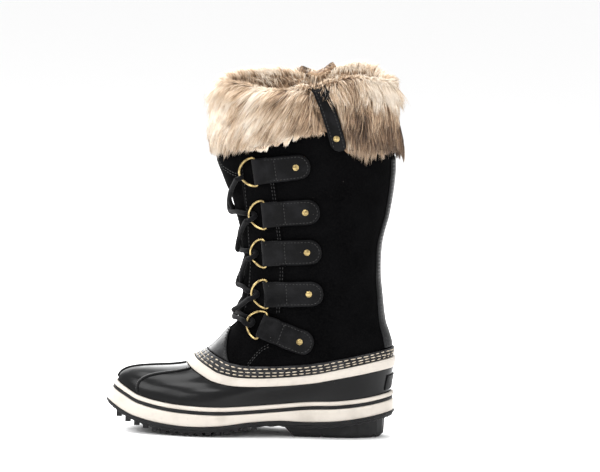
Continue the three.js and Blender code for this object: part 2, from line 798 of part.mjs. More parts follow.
// The bar between the two lowest rings.
function laceBar(height) {
  const tab = tabs[tabs.length - 1];
  const z = height * shaftTop;
  const ends = [-1, 1].map((side) => laceEnd(ringFrame(tab, side), -0.05));
  const shoulders = [-1, 1].map((side, i) => laceShoulder(side, ends[i].x, mix(z, ends[i].z, 0.35)));
  return cord([ends[0], shoulders[0], laceMiddle(z), shoulders[1], ends[1]], laceRadius, 6, 6);
}

function makeCrossing(k) {
  const strands = [-1, 1].map((side) => laceStrand(tabs[k], tabs[k + 1], crossings[k], side));
  const crossed = strands[0].add(strands[1]);
  return k < crossings.length - 1 ? crossed : crossed.add(laceBar(barHeight));
}

// Fur cuff: a ring of fur folded over the shaft's top edge. Its section, from the outer hem over the crest
// to the inner hem, has a share of the way up between the shaft's rings and a distance out of the shaft.
const furHem = 11.4;
const furSection = [
  { at: 0, level: 0.02, out: 0.15 },
  { at: 0.12, level: 0, out: 0.62 },
  { at: 0.3, level: 0.28, out: 1 },
  { at: 0.48, level: 0.66, out: 1.05 },
  { at: 0.6, level: 0.9, out: 0.8 },
  { at: 0.7, level: 1, out: 0.15 },
  { at: 0.8, level: 0.92, out: -0.62 },
  { at: 0.9, level: 0.66, out: -0.85 },
  { at: 1, level: 0.36, out: -0.6 },
];
const furCrest = 13.75;

// The strap leans as it climbs: where it crosses the cuff, as shares of the shaft's depth.
const strapRun = [
  { at: 0.16, x: -0.029 },
  { at: 0.24, x: -0.046 },
  { at: 0.4, x: -0.085 },
  { at: 0.6, x: -0.135 },
  { at: 0.7, x: -0.15 },
  { at: 0.8, x: -0.16 },
  { at: 0.88, x: -0.165 },
];
const strapRivetAt = 0.24;

function furPoint(u, t) {
  const level = mix(furHem, furCrest, read(furSection, "level", t));
  const share = read(furSection, "out", t);
  const strapAt = read(strapRun, "x", t) * shaftDepth;
  const place = shaftPoint(u, level);
  const away = (place.x + leanAt(place.z) - strapAt) / strapWidth;
  const dent = strapDent * Math.abs(Math.sin(u)) * Math.exp(-1.6 * away ** 2);
  const swell = 1 + 0.12 * Math.sin(3 * u + 1) + 0.06 * Math.sin(7 * u);
  const depth = share > 0 ? share * furDepth * swell : share * furLining;
  const hollow = Math.sign(share) * Math.min(Math.abs(depth) - 1, dent);
  return shaft(u, level, Math.abs(share) > 0.2 ? depth - hollow : depth)
    .add(new THREE.Vector3(0, 0, Math.abs(share) < 0.7 && t > 0.4 ? -0.8 * dent : 0));
}

function fur(u, t, out) {
  return raise(furPoint, u, t, out);
}

function furLock(u, t, length) {
  const out = fur(u, t, 5).sub(fur(u, t, 1));
  const down = fur(u, t - 0.06, 2).sub(fur(u, t, 2)).normalize();
  const across = new THREE.Vector3().crossVectors(out, down).normalize();
  const point = (a, b, rise) => fur(u, t, rise)
    .addScaledVector(across, a * lockWidth / 2)
    .addScaledVector(down, b * length);
  const ring = [point(-1, 0, -2), point(0, -0.3, 2.5), point(1, 0, -2)];
  const middle = [point(-0.6, 0.5, -2), point(0, 0.45, 3.5), point(0.6, 0.5, -2)];
  const tip = point(0, 1, 1);
  const faces = [0, 2, 1, 3, 4, 6, 4, 5, 6, 5, 3, 6];
  for (let i = 0; i < 3; i += 1) quad(faces, i, (i + 1) % 3, 3 + ((i + 1) % 3), 3 + i);
  return toManifold(geometryOf([...ring, ...middle, tip], faces));
}

function makeCuff() {
  const grooveTop = shaftEnd + 0.02;
  const stops = furSection.map((row) => row.at);
  let cuff = hoop(around(stations, (u) => [
    ...stops.map((t) => furPoint(u, t)),
    shaft(u, mix(furHem, furCrest, 0.36), -shaftWall - cuffClearance),
    shaft(u, grooveTop, -shaftWall - cuffClearance),
    shaft(u, grooveTop, cuffClearance),
  ]));
  const rows = [
    { t: 0.2, turn: 0, length: lockLength },
    { t: 0.42, turn: 0.5, length: lockLength },
  ];
  for (const row of rows) {
    for (let i = 0; i < locksAround; i += 1) {
      const u = ((i + row.turn) / locksAround) * full;
      const { x, z } = furPoint(u, row.t);
      const away = Math.abs(x + leanAt(z) - read(strapRun, "x", row.t) * shaftDepth);
      const sway = 0.75 + 0.25 * Math.sin(5 * i + 2);
      if (away > strapWidth + lockWidth / 2) cuff = cuff.add(furLock(u, row.t, row.length * sway));
    }
  }
  const beyond = 4 * strapThickness;
  for (const side of [-1, 1]) {
    const channel = plate(strapGrid(side, beyond, looseClearance), strapGrid(side, -looseClearance, looseClearance));
    cuff = cuff.subtract(channel);
  }
  return cuff;
}

function strapGrid(side, out, grown) {
  const first = strapRun[0].at;
  const last = strapRun[strapRun.length - 1].at;
  const stops = run(9, (s) => mix(first, last, s));
  const ends = grown > 0 ? [first - 0.07, ...stops, last + 0.03] : stops;
  return ends.map((t) => {
    const centre = read(strapRun, "x", t) * shaftDepth;
    const narrow = (t <= first ? 0.55 : 1) + (2 * grown) / strapWidth;
    return run(2, (w) => {
      const x = centre + mix(-0.5, 0.5, w) * strapWidth * narrow;
      const level = mix(furHem, furCrest, read(furSection, "level", t));
      const front = read(shaftRings, "front", level) * shaftDepth;
      const rear = read(shaftRings, "rear", level) * shaftDepth;
      const u = Math.acos(1 - (2 * (rear - x)) / (rear - front));
      return fur(side < 0 ? u : -u, t, out);
    });
  });
}

function makeStrap(side) {
  return plate(strapGrid(side, strapThickness, 0), strapGrid(side, 0, 0));
}

function makeStrapRivet(side) {
  const t = strapRivetAt;
  const x = read(strapRun, "x", t) * shaftDepth;
  const level = mix(furHem, furCrest, read(furSection, "level", t));
  const front = read(shaftRings, "front", level) * shaftDepth;
  const rear = read(shaftRings, "rear", level) * shaftDepth;
  const u = Math.acos(1 - (2 * (rear - x)) / (rear - front)) * (side < 0 ? 1 : -1);
  const seat = fur(u, t, strapThickness + looseClearance + clearance);
  const above = fur(u, t, strapThickness + 4);
  return rivetAt(seat, above.sub(seat).normalize());
}

add("outsole", makeOutsole(), "soleRubber");
const stripeBottom = beadHeight + stripeHeight;
add("foxing", band(null, stripeBottom + clearance, { low: 0, high: 0 }), "paleRubber");
add("foxing_stripe", band(stripeBottom, beadHeight + clearance, { low: -0.5, high: -0.5 }), "soleRubber");
add("foxing_bead", band(beadHeight, 0, { low: -0.2, middle: 1, high: -0.6 }), "paleRubber");
add("shell", makeShell(), "rubber");
add("shell_band", shaftBand(collarBottom + levelGap, collarTop, collarThickness), "paleRubber");
add("rand", shaftBand(collarTop + levelGap, randTop, randThickness), "leather");
add("heel_badge", makeBadge(), "rubber");
add("insole", makeInsole(), "felt");
add("upper", makeUpper(), "suede");
add("vamp", makeVamp(), "leather");
add("tongue", makeTongue(), "suede");
add("backstay", makeBackstay(), "leather");
add("fur_cuff", makeCuff(), "fur");
for (const [sideName, side] of [["medial", -1], ["lateral", 1]]) {
  add(`eyestay_${sideName}`, makeEyestay(side), "suede");
  tabs.forEach((tab, k) => {
    add(`tab_${sideName}_${k + 1}`, makeTab(tab, side), "leather");
    add(`ring_${sideName}_${k + 1}`, makeRing(tab, side), "brass");
    add(`rivet_${sideName}_${k + 1}`, makeRivet(tab, side), "brass");
  });
  add(`strap_${sideName}`, makeStrap(side), "leather");
  add(`strap_rivet_${sideName}`, makeStrapRivet(side), "brass");
}
crossings.forEach((height, k) => add(`lace_${k + 1}`, makeCrossing(k), "cord"));

export default boot;
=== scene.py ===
import math

import bmesh
import bpy
import numpy as np
from mathutils import Matrix, Vector


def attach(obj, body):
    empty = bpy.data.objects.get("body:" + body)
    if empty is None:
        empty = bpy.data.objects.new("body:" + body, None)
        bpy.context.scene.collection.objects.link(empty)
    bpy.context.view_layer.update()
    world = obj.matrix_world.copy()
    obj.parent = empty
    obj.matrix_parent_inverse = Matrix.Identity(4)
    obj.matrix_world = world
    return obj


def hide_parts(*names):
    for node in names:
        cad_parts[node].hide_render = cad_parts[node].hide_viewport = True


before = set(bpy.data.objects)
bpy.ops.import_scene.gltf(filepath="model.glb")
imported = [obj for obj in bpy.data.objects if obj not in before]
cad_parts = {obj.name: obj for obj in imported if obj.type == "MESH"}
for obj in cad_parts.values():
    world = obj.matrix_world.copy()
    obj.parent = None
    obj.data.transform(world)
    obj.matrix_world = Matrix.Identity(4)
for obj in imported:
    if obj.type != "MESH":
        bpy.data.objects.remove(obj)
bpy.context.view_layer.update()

# Camera
# It looks at the boot's inner side from a little above, five metres off, and is rolled slightly, so that
# the heel hangs lower in the picture than the toe, as in the photograph.
camera_distance = 5.0
camera_rise = math.radians(6.7)
camera_roll = math.radians(1.8)
camera_target = Vector((-0.0471, 0, 0.1988))
looking = Vector((0, math.cos(camera_rise), -math.sin(camera_rise)))
level_right = Vector((1, 0, 0))
level_up = level_right.cross(looking)
camera_right = level_right * math.cos(camera_roll) + level_up * math.sin(camera_roll)
camera_up = level_up * math.cos(camera_roll) - level_right * math.sin(camera_roll)
camera_lens = bpy.data.cameras.new("camera")
camera_lens.lens = 300
camera_lens.sensor_width = 36
camera_lens.clip_end = 100
camera = bpy.data.objects.new("camera", camera_lens)
bpy.context.scene.collection.objects.link(camera)
camera_turn = Matrix((camera_right, camera_up, -looking)).transposed().to_4x4()
camera.matrix_world = Matrix.Translation(camera_target - looking * camera_distance) @ camera_turn
bpy.context.scene.camera = camera

# Studio
# A plain pale floor, a white surround and four large soft lights: high on the toe's side, on the heel's
# side, overhead, and a wide one behind the toe, which draws the soft light on top of the rubber foot.


def add_node(tree, kind, inputs=None, **fields):
    """Adds a node, sets its fields, and joins or sets its inputs."""
    made = tree.nodes.new(kind)
    for field, value in fields.items():
        setattr(made, field, value)
    for socket, value in (inputs or {}).items():
        if isinstance(value, bpy.types.NodeSocket):
            tree.links.new(value, made.inputs[socket])
        else:
            made.inputs[socket].default_value = value
    return made


def start_finish(name, shader):
    """A new material with its Principled shader; shader sets that shader's own sockets."""
    material = bpy.data.materials.new(name)
    material.use_nodes = True
    tree = material.node_tree
    tree.nodes.clear()
    surface = add_node(tree, "ShaderNodeBsdfPrincipled", shader)
    add_node(tree, "ShaderNodeOutputMaterial", {"Surface": surface.outputs["BSDF"]})
    return material, tree, surface


def add_light(name, place, aim, size, power):
    """A soft rectangular light, size in metres and power in watts."""
    light = bpy.data.lights.new(name, "AREA")
    light.shape = "RECTANGLE"
    light.size = size[0]
    light.size_y = size[1]
    light.energy = power
    holder = bpy.data.objects.new(name, light)
    holder.location = place
    holder.rotation_euler = (Vector(aim) - Vector(place)).to_track_quat("-Z", "Y").to_euler()
    bpy.context.scene.collection.objects.link(holder)


boot_middle = (-0.06, 0, 0.15)
add_light("light_toe_side", (-1.5, -1.6, 1.5), boot_middle, (1.2, 1.2), 24)
add_light("light_heel_side", (1.7, -1.3, 1.1), boot_middle, (1.0, 1.4), 9)
add_light("light_overhead", (-0.2, -0.3, 2.2), boot_middle, (1.6, 1.0), 26)
add_light("light_behind", (-0.95, 1.35, 1.25), boot_middle, (2.2, 1.7), 88)

world = bpy.data.worlds.new("surround")
world.use_nodes = True
world.node_tree.nodes["Background"].inputs["Color"].default_value = (1, 1, 1, 1)
world.node_tree.nodes["Background"].inputs["Strength"].default_value = 1.0
bpy.context.scene.world = world
bpy.context.scene.view_settings.view_transform = "Standard"

floor_reach = 20
floor_drop = -0.0004
floor_mesh = bmesh.new()
bmesh.ops.create_grid(floor_mesh, x_segments=1, y_segments=1, size=floor_reach)
bmesh.ops.translate(floor_mesh, verts=floor_mesh.verts, vec=(0, 0, floor_drop))
floor_data = bpy.data.meshes.new("floor")
floor_mesh.to_mesh(floor_data)
floor_mesh.free()
floor = bpy.data.objects.new("floor", floor_data)
bpy.context.scene.collection.objects.link(floor)
floor_finish, _, floor_surface = start_finish("pale_floor", {"Roughness": 0.9})
floor_surface.inputs["Base Color"].default_value = (0.95, 0.95, 0.95, 1)
floor_data.materials.append(floor_finish)

# Pale side bands
# The foxing: a wide cream rubber strip, a thin black line and a round cream bead, wrapped round the foot
# over the sole's rim and joined by a lap on the inner side. They follow the sole's outline and its rim.
millimetre = 0.001
full_turn = 2 * math.pi
map_round = full_turn * 80
toe = math.pi
degree = math.pi / 180
sole_length = 287
sole_width = 105
heel_back = 52
toe_swing = 8
rim_height = 27.5
toe_lift = 31
side_height = 20
toe_lean = 7.5
side_lean = 1.2
bead_height = 4
stripe_height = 3.4
band_thickness = 2.4
clearance = 0.3
loose_clearance = 0.6
plump = 0.8
merge_distance = 0.00002


def make_table(names, rows):
    """A table of sections: one column for each name, read by the first, which says where a row is."""
    return dict(zip(names.split(), np.array(rows, dtype=float).T))


def read(table, column, place):
    """A smooth reading of one column between the table's rows."""
    places = table["at"]
    values = table[column]
    place = np.clip(place, places[0], places[-1])
    row = np.clip(np.searchsorted(places, place) - 1, 0, len(places) - 2)
    order = np.arange(len(places))
    before = np.maximum(order - 1, 0)
    after = np.minimum(order + 1, len(places) - 1)
    slope = (values[after] - values[before]) / (places[after] - places[before])
    span = places[row + 1] - places[row]
    t = (place - places[row]) / span
    start = (1 + 2 * t) * (1 - t) ** 2 * values[row]
    end = t * t * (3 - 2 * t) * values[row + 1]
    leave = t * (1 - t) ** 2 * span * slope[row]
    arrive = t * t * (t - 1) * span * slope[row + 1]
    return start + end + leave + arrive


foot_sections = make_table("at medial lateral rim side swing", [
    (0, 0.476, 0.476, 1, 0.95, 0),
    (0.1, 0.476, 0.476, 0.8, 0.97, 0),
    (0.2, 0.432, 0.445, 0.647, 1.01, 0),
    (0.3, 0.381, 0.4, 0.589, 1.015, 0),
    (0.4, 0.381, 0.41, 0.613, 0.84, 0),
    (0.5, 0.426, 0.457, 0.549, 0.815, 0),
    (0.6, 0.476, 0.533, 0.403, 0.93, 0),
    (0.7, 0.505, 0.562, 0.349, 1.02, 0),
    (0.8, 0.476, 0.571, 0.407, 1.04, 0.3),
    (0.9, 0.44, 0.555, 0.611, 1.05, 0.75),
    (0.95, 0.4, 0.5, 0.818, 1.08, 0.92),
    (1, 0.35, 0.43, toe_lift / rim_height, 0.97, 1),
])


def share_of(u):
    return (1 - np.cos(u)) / 2


def roundness(u, power):
    s = np.sin(u)
    return -np.sign(s) * np.abs(s) ** power


def outline(u):
    """The sole's outline in plan."""
    share = share_of(u)
    medial = read(foot_sections, "medial", share)
    lateral = read(foot_sections, "lateral", share)
    half = np.where(np.sin(u) > 0, medial, lateral) * sole_width
    swing = read(foot_sections, "swing", share) * toe_swing
    return np.stack([heel_back - sole_length * share, roundness(u, plump) * half - swing], axis=-1)


def unit(vectors):
    return vectors / np.maximum(np.linalg.norm(vectors, axis=-1, keepdims=True), 1e-9)


def outline_normal(u):
    step = 0.01
    along = outline(u + step) - outline(u - step)
    return unit(np.stack([-along[..., 1], along[..., 0]], axis=-1))


def side_point(u, height, out):
    """A point of the foot's side: height is 0 at the sole's rim and 1 at the top of the pale bead."""
    share = share_of(u)
    lean = side_lean + (toe_lean - side_lean) * share ** 6
    place = outline(u) + outline_normal(u) * (out - lean * height)[..., None]
    rise = read(foot_sections, "side", share) * side_height
    rim = read(foot_sections, "rim", share) * rim_height
    return np.concatenate([place, (rim + rise * height)[..., None]], axis=-1)


def under_bead(u, drop):
    return 1 - drop / (read(foot_sections, "side", share_of(u)) * side_height)


def close_mesh(name, mesh, away=None):
    """Makes the object of a bmesh, with its faces out: away is a point inside, for an open sheet."""
    bmesh.ops.remove_doubles(mesh, verts=mesh.verts, dist=merge_distance)
    bmesh.ops.recalc_face_normals(mesh, faces=mesh.faces)
    if away is None:
        facing = mesh.calc_volume(signed=True)
    else:
        middle = Vector(away) * millimetre
        facing = sum((f.calc_center_median() - middle).dot(f.normal) * f.calc_area() for f in mesh.faces)
    if facing < 0:
        bmesh.ops.reverse_faces(mesh, faces=mesh.faces)
    data = bpy.data.meshes.new(name)
    mesh.to_mesh(data)
    mesh.free()
    data.shade_smooth()
    piece = bpy.data.objects.new(name, data)
    bpy.context.scene.collection.objects.link(piece)
    return piece


def lay_grid(mesh, place, columns, rows, size=(1, 1)):
    """Lays a grid on a surface. place turns two arrays of shares into points; size scales the UV map."""
    layer = mesh.loops.layers.uv.verify()
    made = bmesh.ops.create_grid(mesh, x_segments=columns, y_segments=rows, size=0.5, calc_uvs=True)
    made = made["verts"]
    flat = np.array([vertex.co[:2] for vertex in made]) + 0.5
    points = place(flat[:, 0], flat[:, 1]) * millimetre
    for vertex, point in zip(made, points):
        vertex.co = point
    for face in {face for vertex in made for face in vertex.link_faces}:
        for loop in face.loops:
            loop[layer].uv = (loop[layer].uv.x * size[0], loop[layer].uv.y * size[1])


def lay_skin(name, place, columns, rows, size=(1, 1), away=None):
    mesh = bmesh.new()
    lay_grid(mesh, place, columns, rows, size)
    return close_mesh(name, mesh, away)


def dress(piece, material, nodes=()):
    """Gives a piece its material and body, and hides the model's nodes that it stands for."""
    piece.data.materials.clear()
    piece.data.materials.append(material)
    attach(piece, "root")
    if nodes:
        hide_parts(*nodes)


def start_group(name, inputs, outputs):
    """A node group with named value inputs and outputs, read on the object's own coordinates."""
    group = bpy.data.node_groups.new(name, "ShaderNodeTree")
    for socket, value in inputs.items():
        made = group.interface.new_socket(name=socket, in_out="INPUT", socket_type="NodeSocketFloat")
        made.default_value = value
    for socket in outputs:
        group.interface.new_socket(name=socket, in_out="OUTPUT", socket_type="NodeSocketFloat")
    given = add_node(group, "NodeGroupInput").outputs
    taken = add_node(group, "NodeGroupOutput").inputs
    place = add_node(group, "ShaderNodeTexCoord").outputs["Object"]
    return group, given, taken, place


# Soft blotches: a mask that rises from 0 to 1 where a noise passes from Low to High.
blotches, given, taken, place = start_group("blotches", {"Scale": 30, "Low": 0.45, "High": 0.65}, ["Mask"])
blotch_noise = add_node(blotches, "ShaderNodeTexNoise", {
    "Vector": place, "Scale": given["Scale"], "Detail": 5,
})
blotch_edge = add_node(blotches, "ShaderNodeMapRange", {
    "Value": blotch_noise.outputs["Fac"], "From Min": given["Low"], "From Max": given["High"],
}, interpolation_type="SMOOTHSTEP")
blotches.links.new(blotch_edge.outputs["Result"], taken["Mask"])

# Grain: cells with soft valleys between them, broken up by a finer noise.
grain, given, taken, place = start_group("grain", {"Scale": 600, "Fine": 0.4}, ["Height"])
grain_cells = add_node(grain, "ShaderNodeTexVoronoi", {
    "Vector": place, "Scale": given["Scale"], "Smoothness": 0.4,
}, feature="SMOOTH_F1")
grain_noise = add_node(grain, "ShaderNodeTexNoise", {"Vector": place, "Scale": given["Scale"], "Detail": 4})
grain_fine = add_node(grain, "ShaderNodeMath", {
    0: grain_noise.outputs["Fac"], 1: given["Fine"],
}, operation="MULTIPLY")
grain_sum = add_node(grain, "ShaderNodeMath", {
    0: grain_cells.outputs["Distance"], 1: grain_fine.outputs[0],
}, operation="SUBTRACT")
grain.links.new(grain_sum.outputs[0], taken["Height"])

# Specks: small scattered dots of lint or dust.
specks, given, taken, place = start_group("specks", {"Scale": 200, "Size": 0.05, "Share": 0.2}, ["Mask"])
speck_cells = add_node(specks, "ShaderNodeTexVoronoi", {"Vector": place, "Scale": given["Scale"]})
speck_near = add_node(specks, "ShaderNodeMath", {
    0: speck_cells.outputs["Distance"], 1: given["Size"],
}, operation="LESS_THAN")
speck_pick = add_node(specks, "ShaderNodeSeparateColor", {"Color": speck_cells.outputs["Color"]})
speck_rare = add_node(specks, "ShaderNodeMath", {
    0: speck_pick.outputs["Red"], 1: given["Share"],
}, operation="LESS_THAN")
speck_both = add_node(specks, "ShaderNodeMath", {
    0: speck_near.outputs[0], 1: speck_rare.outputs[0],
}, operation="MULTIPLY")
specks.links.new(speck_both.outputs[0], taken["Mask"])


def add_group(tree, group, **values):
    made = add_node(tree, "ShaderNodeGroup", node_tree=group)
    for socket, value in values.items():
        made.inputs[socket].default_value = value
    return made.outputs[0]


def blend_colour(tree, mask, below, above):
    """A colour or socket below, and another where the mask is 1."""
    mix = add_node(tree, "ShaderNodeMix", {"Factor": mask}, data_type="RGBA")
    for socket, value in (("A", below), ("B", above)):
        target = next(s for s in mix.inputs if s.name == socket and s.type == "RGBA")
        if isinstance(value, bpy.types.NodeSocket):
            tree.links.new(value, target)
        else:
            target.default_value = (*value, 1)
    return next(s for s in mix.outputs if s.type == "RGBA")


def scale_value(tree, value, low, high):
    """Stretches a value between 0 and 1 to the range low to high."""
    return add_node(tree, "ShaderNodeMapRange", {
        "Value": value, "To Min": low, "To Max": high,
    }).outputs["Result"]


def paint(tree, surface, colour, roughness=None):
    """Joins a colour, and a roughness that changes over the surface, to the shader."""
    tree.links.new(colour, surface.inputs["Base Color"])
    if roughness is not None:
        tree.links.new(roughness, surface.inputs["Roughness"])


def add_bumps(tree, surface, layers):
    """Joins bumps one over another to the shader: each layer has a height, a depth in mm and a strength."""
    last = None
    for height, depth, strength in layers:
        inputs = {"Height": height, "Distance": depth * millimetre, "Strength": strength}
        if last is not None:
            inputs["Normal"] = last
        last = add_node(tree, "ShaderNodeBump", inputs).outputs["Normal"]
    tree.links.new(last, surface.inputs["Normal"])


cream, tree, surface = start_finish("cream_rubber", {"Specular IOR Level": 0.4})
grey_smudge = add_group(tree, blotches, Scale=38, Low=0.5, High=0.75)
fine_smudge = add_group(tree, blotches, Scale=210, Low=0.5, High=0.8)
cream_colour = blend_colour(tree, grey_smudge, (0.53, 0.485, 0.43), (0.43, 0.39, 0.34))
cream_colour = blend_colour(tree, fine_smudge, cream_colour, (0.48, 0.44, 0.395))
dark_speck = add_group(tree, specks, Scale=150, Size=0.07, Share=0.12)
cream_colour = blend_colour(tree, dark_speck, cream_colour, (0.33, 0.29, 0.25))
paint(tree, surface, cream_colour, scale_value(tree, grey_smudge, 0.4, 0.56))
add_bumps(tree, surface, [
    (add_group(tree, blotches, Scale=55, Low=0.3, High=0.7), 0.35, 0.35),
    (add_group(tree, grain, Scale=1500, Fine=0.5), 0.05, 0.4),
])

# The black rubber of the tread and of the line between the pale bands is matt, dusty in its hollows.
tread_rubber, tree, surface = start_finish("tread_rubber", {"Specular IOR Level": 0.2})
tread_dust = add_group(tree, blotches, Scale=70, Low=0.45, High=0.75)
tread_colour = blend_colour(tree, tread_dust, (0.005, 0.005, 0.0055), (0.018, 0.018, 0.0185))
paint(tree, surface, tread_colour, scale_value(tree, tread_dust, 0.42, 0.72))
add_bumps(tree, surface, [
    (add_group(tree, blotches, Scale=90, Low=0.3, High=0.7), 0.3, 0.3),
    (add_group(tree, grain, Scale=1300, Fine=0.6), 0.06, 0.5),
])


def loop_table(rows):
    """A closed section as two columns, read by the share of the way round it."""
    closed = [*rows, rows[0]]
    return make_table("at a b", [(i / len(rows), *row) for i, row in enumerate(closed)])


def read_loop(section, share):
    """A straight reading of a closed section, whose corners stay where its rows are."""
    return (
        np.interp(share, section["at"], section["a"]),
        np.interp(share, section["at"], section["b"]),
    )


# The lap: the band's end lies on its beginning, on the inner side under the ankle.
lap_u = math.acos(1 - 2 * (heel_back + 27) / sole_length)
lap_step = 0.55
lap_run = 0.16


def lap(u):
    past = np.mod(u, full_turn) - lap_u
    return np.where(past > 0, lap_step * np.exp(-past / lap_run), 0) * (np.mod(u, full_turn) < toe)


def lay_side_band(name, low_drop, high_drop, section):
    """A band round the foot between two drops under the bead's top. low_drop None is the sole's rim."""
    closed = loop_table(section)

    def place(a, b):
        u = a * full_turn
        height, out = read_loop(closed, b)
        low = np.full_like(u, clearance / side_height) if low_drop is None else under_bead(u, low_drop)
        high = under_bead(u, high_drop)
        proud = lap(u) * (out > -1)
        return side_point(u, low + (high - low) * height, out + proud)

    return lay_skin(name, place, 300, len(section), (map_round, 1))


stripe_bottom = bead_height + stripe_height
foxing_section = [
    (0, -0.9), (0.02, -0.35), (0.06, 0), (0.25, 0.2), (0.5, 0.3), (0.75, 0.2), (0.94, 0), (0.98, -0.35),
    (1, -0.9), (1, -band_thickness), (0, -band_thickness),
]
stripe_section = [
    (0, -0.9), (0.1, -0.55), (0.3, -0.45), (0.7, -0.45), (0.9, -0.55), (1, -0.9),
    (1, -band_thickness), (0, -band_thickness),
]
bead_section = [
    (0, -0.7), (0.05, -0.1), (0.18, 0.45), (0.35, 0.85), (0.5, 0.97), (0.65, 0.85), (0.82, 0.4),
    (0.95, -0.2), (1, -0.8), (1, -band_thickness), (0, -band_thickness),
]
foxing = lay_side_band("foxing_strip", None, stripe_bottom + clearance, foxing_section)
dress(foxing, cream, ["foxing"])
stripe = lay_side_band("foxing_line", stripe_bottom, bead_height + clearance, stripe_section)
dress(stripe, tread_rubber, ["foxing_stripe"])
bead = lay_side_band("foxing_round", bead_height, 0, bead_section)
dress(bead, cream, ["foxing_bead"])

# Outsole
# A moulded black rubber sole with a heel block and cross lugs under the forefoot. The model's own solid
# shows; it gets the tread's rubber. A low rubber edge runs round it under the foxing.
plate_depth = make_table("at depth", [
    (0, 4), (0.2, 4.3), (0.3, 4.5), (0.5, 3.8), (0.7, 5), (0.8, 4.8), (0.9, 3.8), (1, 3),
])
tread_edge_drop = 1.3
tread_edge_section = loop_table([
    (0, -1.6), (0.1, -0.9), (0.3, -0.55), (1.06, -0.5), (1.06, -7), (0.3, -7), (0, -6.4),
])


def tread_edge_place(a, b):
    u = a * full_turn
    height, out = read_loop(tread_edge_section, b)
    notches = 0.7 * np.clip(np.sin(u * 70), -0.4, 0.6) * (height < 0.2)
    point = side_point(u, np.zeros_like(u), out)
    depth = read(plate_depth, "depth", share_of(u)) + tread_edge_drop
    point[..., 2] += depth * (height - 1) + notches
    return point


tread_edge = lay_skin("tread_edge", tread_edge_place, 480, 7, (map_round, 1))
dress(tread_edge, tread_rubber)
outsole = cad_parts["outsole"]
outsole.data.materials.clear()
outsole.data.materials.append(tread_rubber)

# Shaft form
# The suede shaft's rings, from the shell's top edge to the cuff, lean forward as they rise. Soft troughs
# are pressed in where the boot has bent at the ankle and sagged above it.
shaft_top = 338
shaft_width = 100
shaft_depth = 175
collar_dip = 17
collar_width = 78
shaft_wall = 2.2
shaft_lean = 8.4
throat_bottom = 4.45
shaft_end = 13

collar_sections = make_table("at dip width", [
    (0, 0, 1.07),
    (0.072, 0.12, 1.09),
    (0.148, 0.28, 1.08),
    (0.3, 0.63, 0.96),
    (0.38, 0.8, 0.92),
    (0.53, 0.96, 0.93),
    (0.775, 1, 1.13),
    (0.876, 0.81, 1.18),
    (0.923, 0.55, 1.2),
    (0.976, 0.21, 1.2),
    (1, 0, 1.2),
])
shaft_rings = make_table("at front front_z rear rear_z half dip foot throat", [
    (1, -0.877, 0.197, 0.276, 0.211, 0.39, 1, 1, 0),
    (2, -0.84, 0.22, 0.276, 0.241, 0.39, 1, 1, 0),
    (3, -0.771, 0.243, 0.28, 0.269, 0.39, 0.78, 0.7, 2),
    (4, -0.68, 0.29, 0.262, 0.305, 0.395, 0.5, 0.35, 6),
    (5, -0.606, 0.343, 0.237, 0.346, 0.4, 0.22, 0, 17),
    (6, -0.577, 0.414, 0.222, 0.408, 0.425, 0, 0, 22),
    (7, -0.566, 0.503, 0.209, 0.497, 0.45, 0, 0, 24),
    (8, -0.583, 0.583, 0.22, 0.583, 0.465, 0, 0, 26),
    (9, -0.617, 0.666, 0.257, 0.66, 0.48, 0, 0, 31),
    (10, -0.669, 0.743, 0.283, 0.74, 0.49, 0, 0, 37),
    (11, -0.72, 0.811, 0.294, 0.814, 0.5, 0, 0, 42),
    (12, -0.72, 0.917, 0.286, 0.917, 0.505, 0, 0, 45),
    (13, -0.697, 1, 0.274, 1, 0.5, 0, 0, 46),
    (14, -0.67, 1.083, 0.26, 1.083, 0.49, 0, 0, 46),
])

# Troughs and ridges of the suede: x and z of the middle, the half length, the width, the slope in degrees
# down towards the back, the depth, which is negative for a ridge, and the side, or 0 for both.
creases = [
    (-62, 118, 34, 6, 14, 1.5, 0),
    (-50, 131, 40, 7, 8, -0.9, 0),
    (-56, 146, 38, 7, -4, 1.2, 0),
    (-20, 124, 30, 9, 20, 1.0, 0),
    (6, 150, 30, 9, -16, 1.1, 0),
    (12, 172, 26, 10, -10, -0.8, 0),
    (4, 196, 34, 12, 12, 0.9, -1),
    (-2, 236, 30, 13, -72, 1.0, -1),
    (22, 214, 46, 10, 80, 0.8, -1),
    (-18, 262, 32, 12, 64, 0.9, -1),
    (8, 208, 34, 12, 8, 0.9, 1),
    (-6, 244, 36, 12, 70, 1.0, 1),
]


def lean_at(z):
    foot = 0.2 * shaft_top
    return shaft_lean * np.maximum(z - foot, 0) / (shaft_top - foot)


def shaft_point(u, level):
    """A point of the shaft's outside, on a ring of the table."""
    share = share_of(u)
    foot = read(shaft_rings, "foot", level)
    width = read(collar_sections, "width", share)
    flare = 1 + foot * (width - 1)
    half = read(shaft_rings, "half", level) * (1 - foot) * shaft_width + foot * collar_width / 2
    front = read(shaft_rings, "front", level) * shaft_depth
    rear = read(shaft_rings, "rear", level) * shaft_depth
    dip = read(shaft_rings, "dip", level) * read(collar_sections, "dip", share) * collar_dip
    front_z = read(shaft_rings, "front_z", level)
    rear_z = read(shaft_rings, "rear_z", level)
    z = (rear_z + (front_z - rear_z) * share) * shaft_top - dip
    x = rear + (front - rear) * share - lean_at(z)
    return np.stack([x, roundness(u, plump + 0.1 * (1 - foot)) * half * flare, z], axis=-1)


def normal_of(surface, u, v):
    step = 0.004
    across = surface(u + step, v) - surface(u - step, v)
    up = surface(u, v + step) - surface(u, v - step)
    return unit(np.cross(up, across))


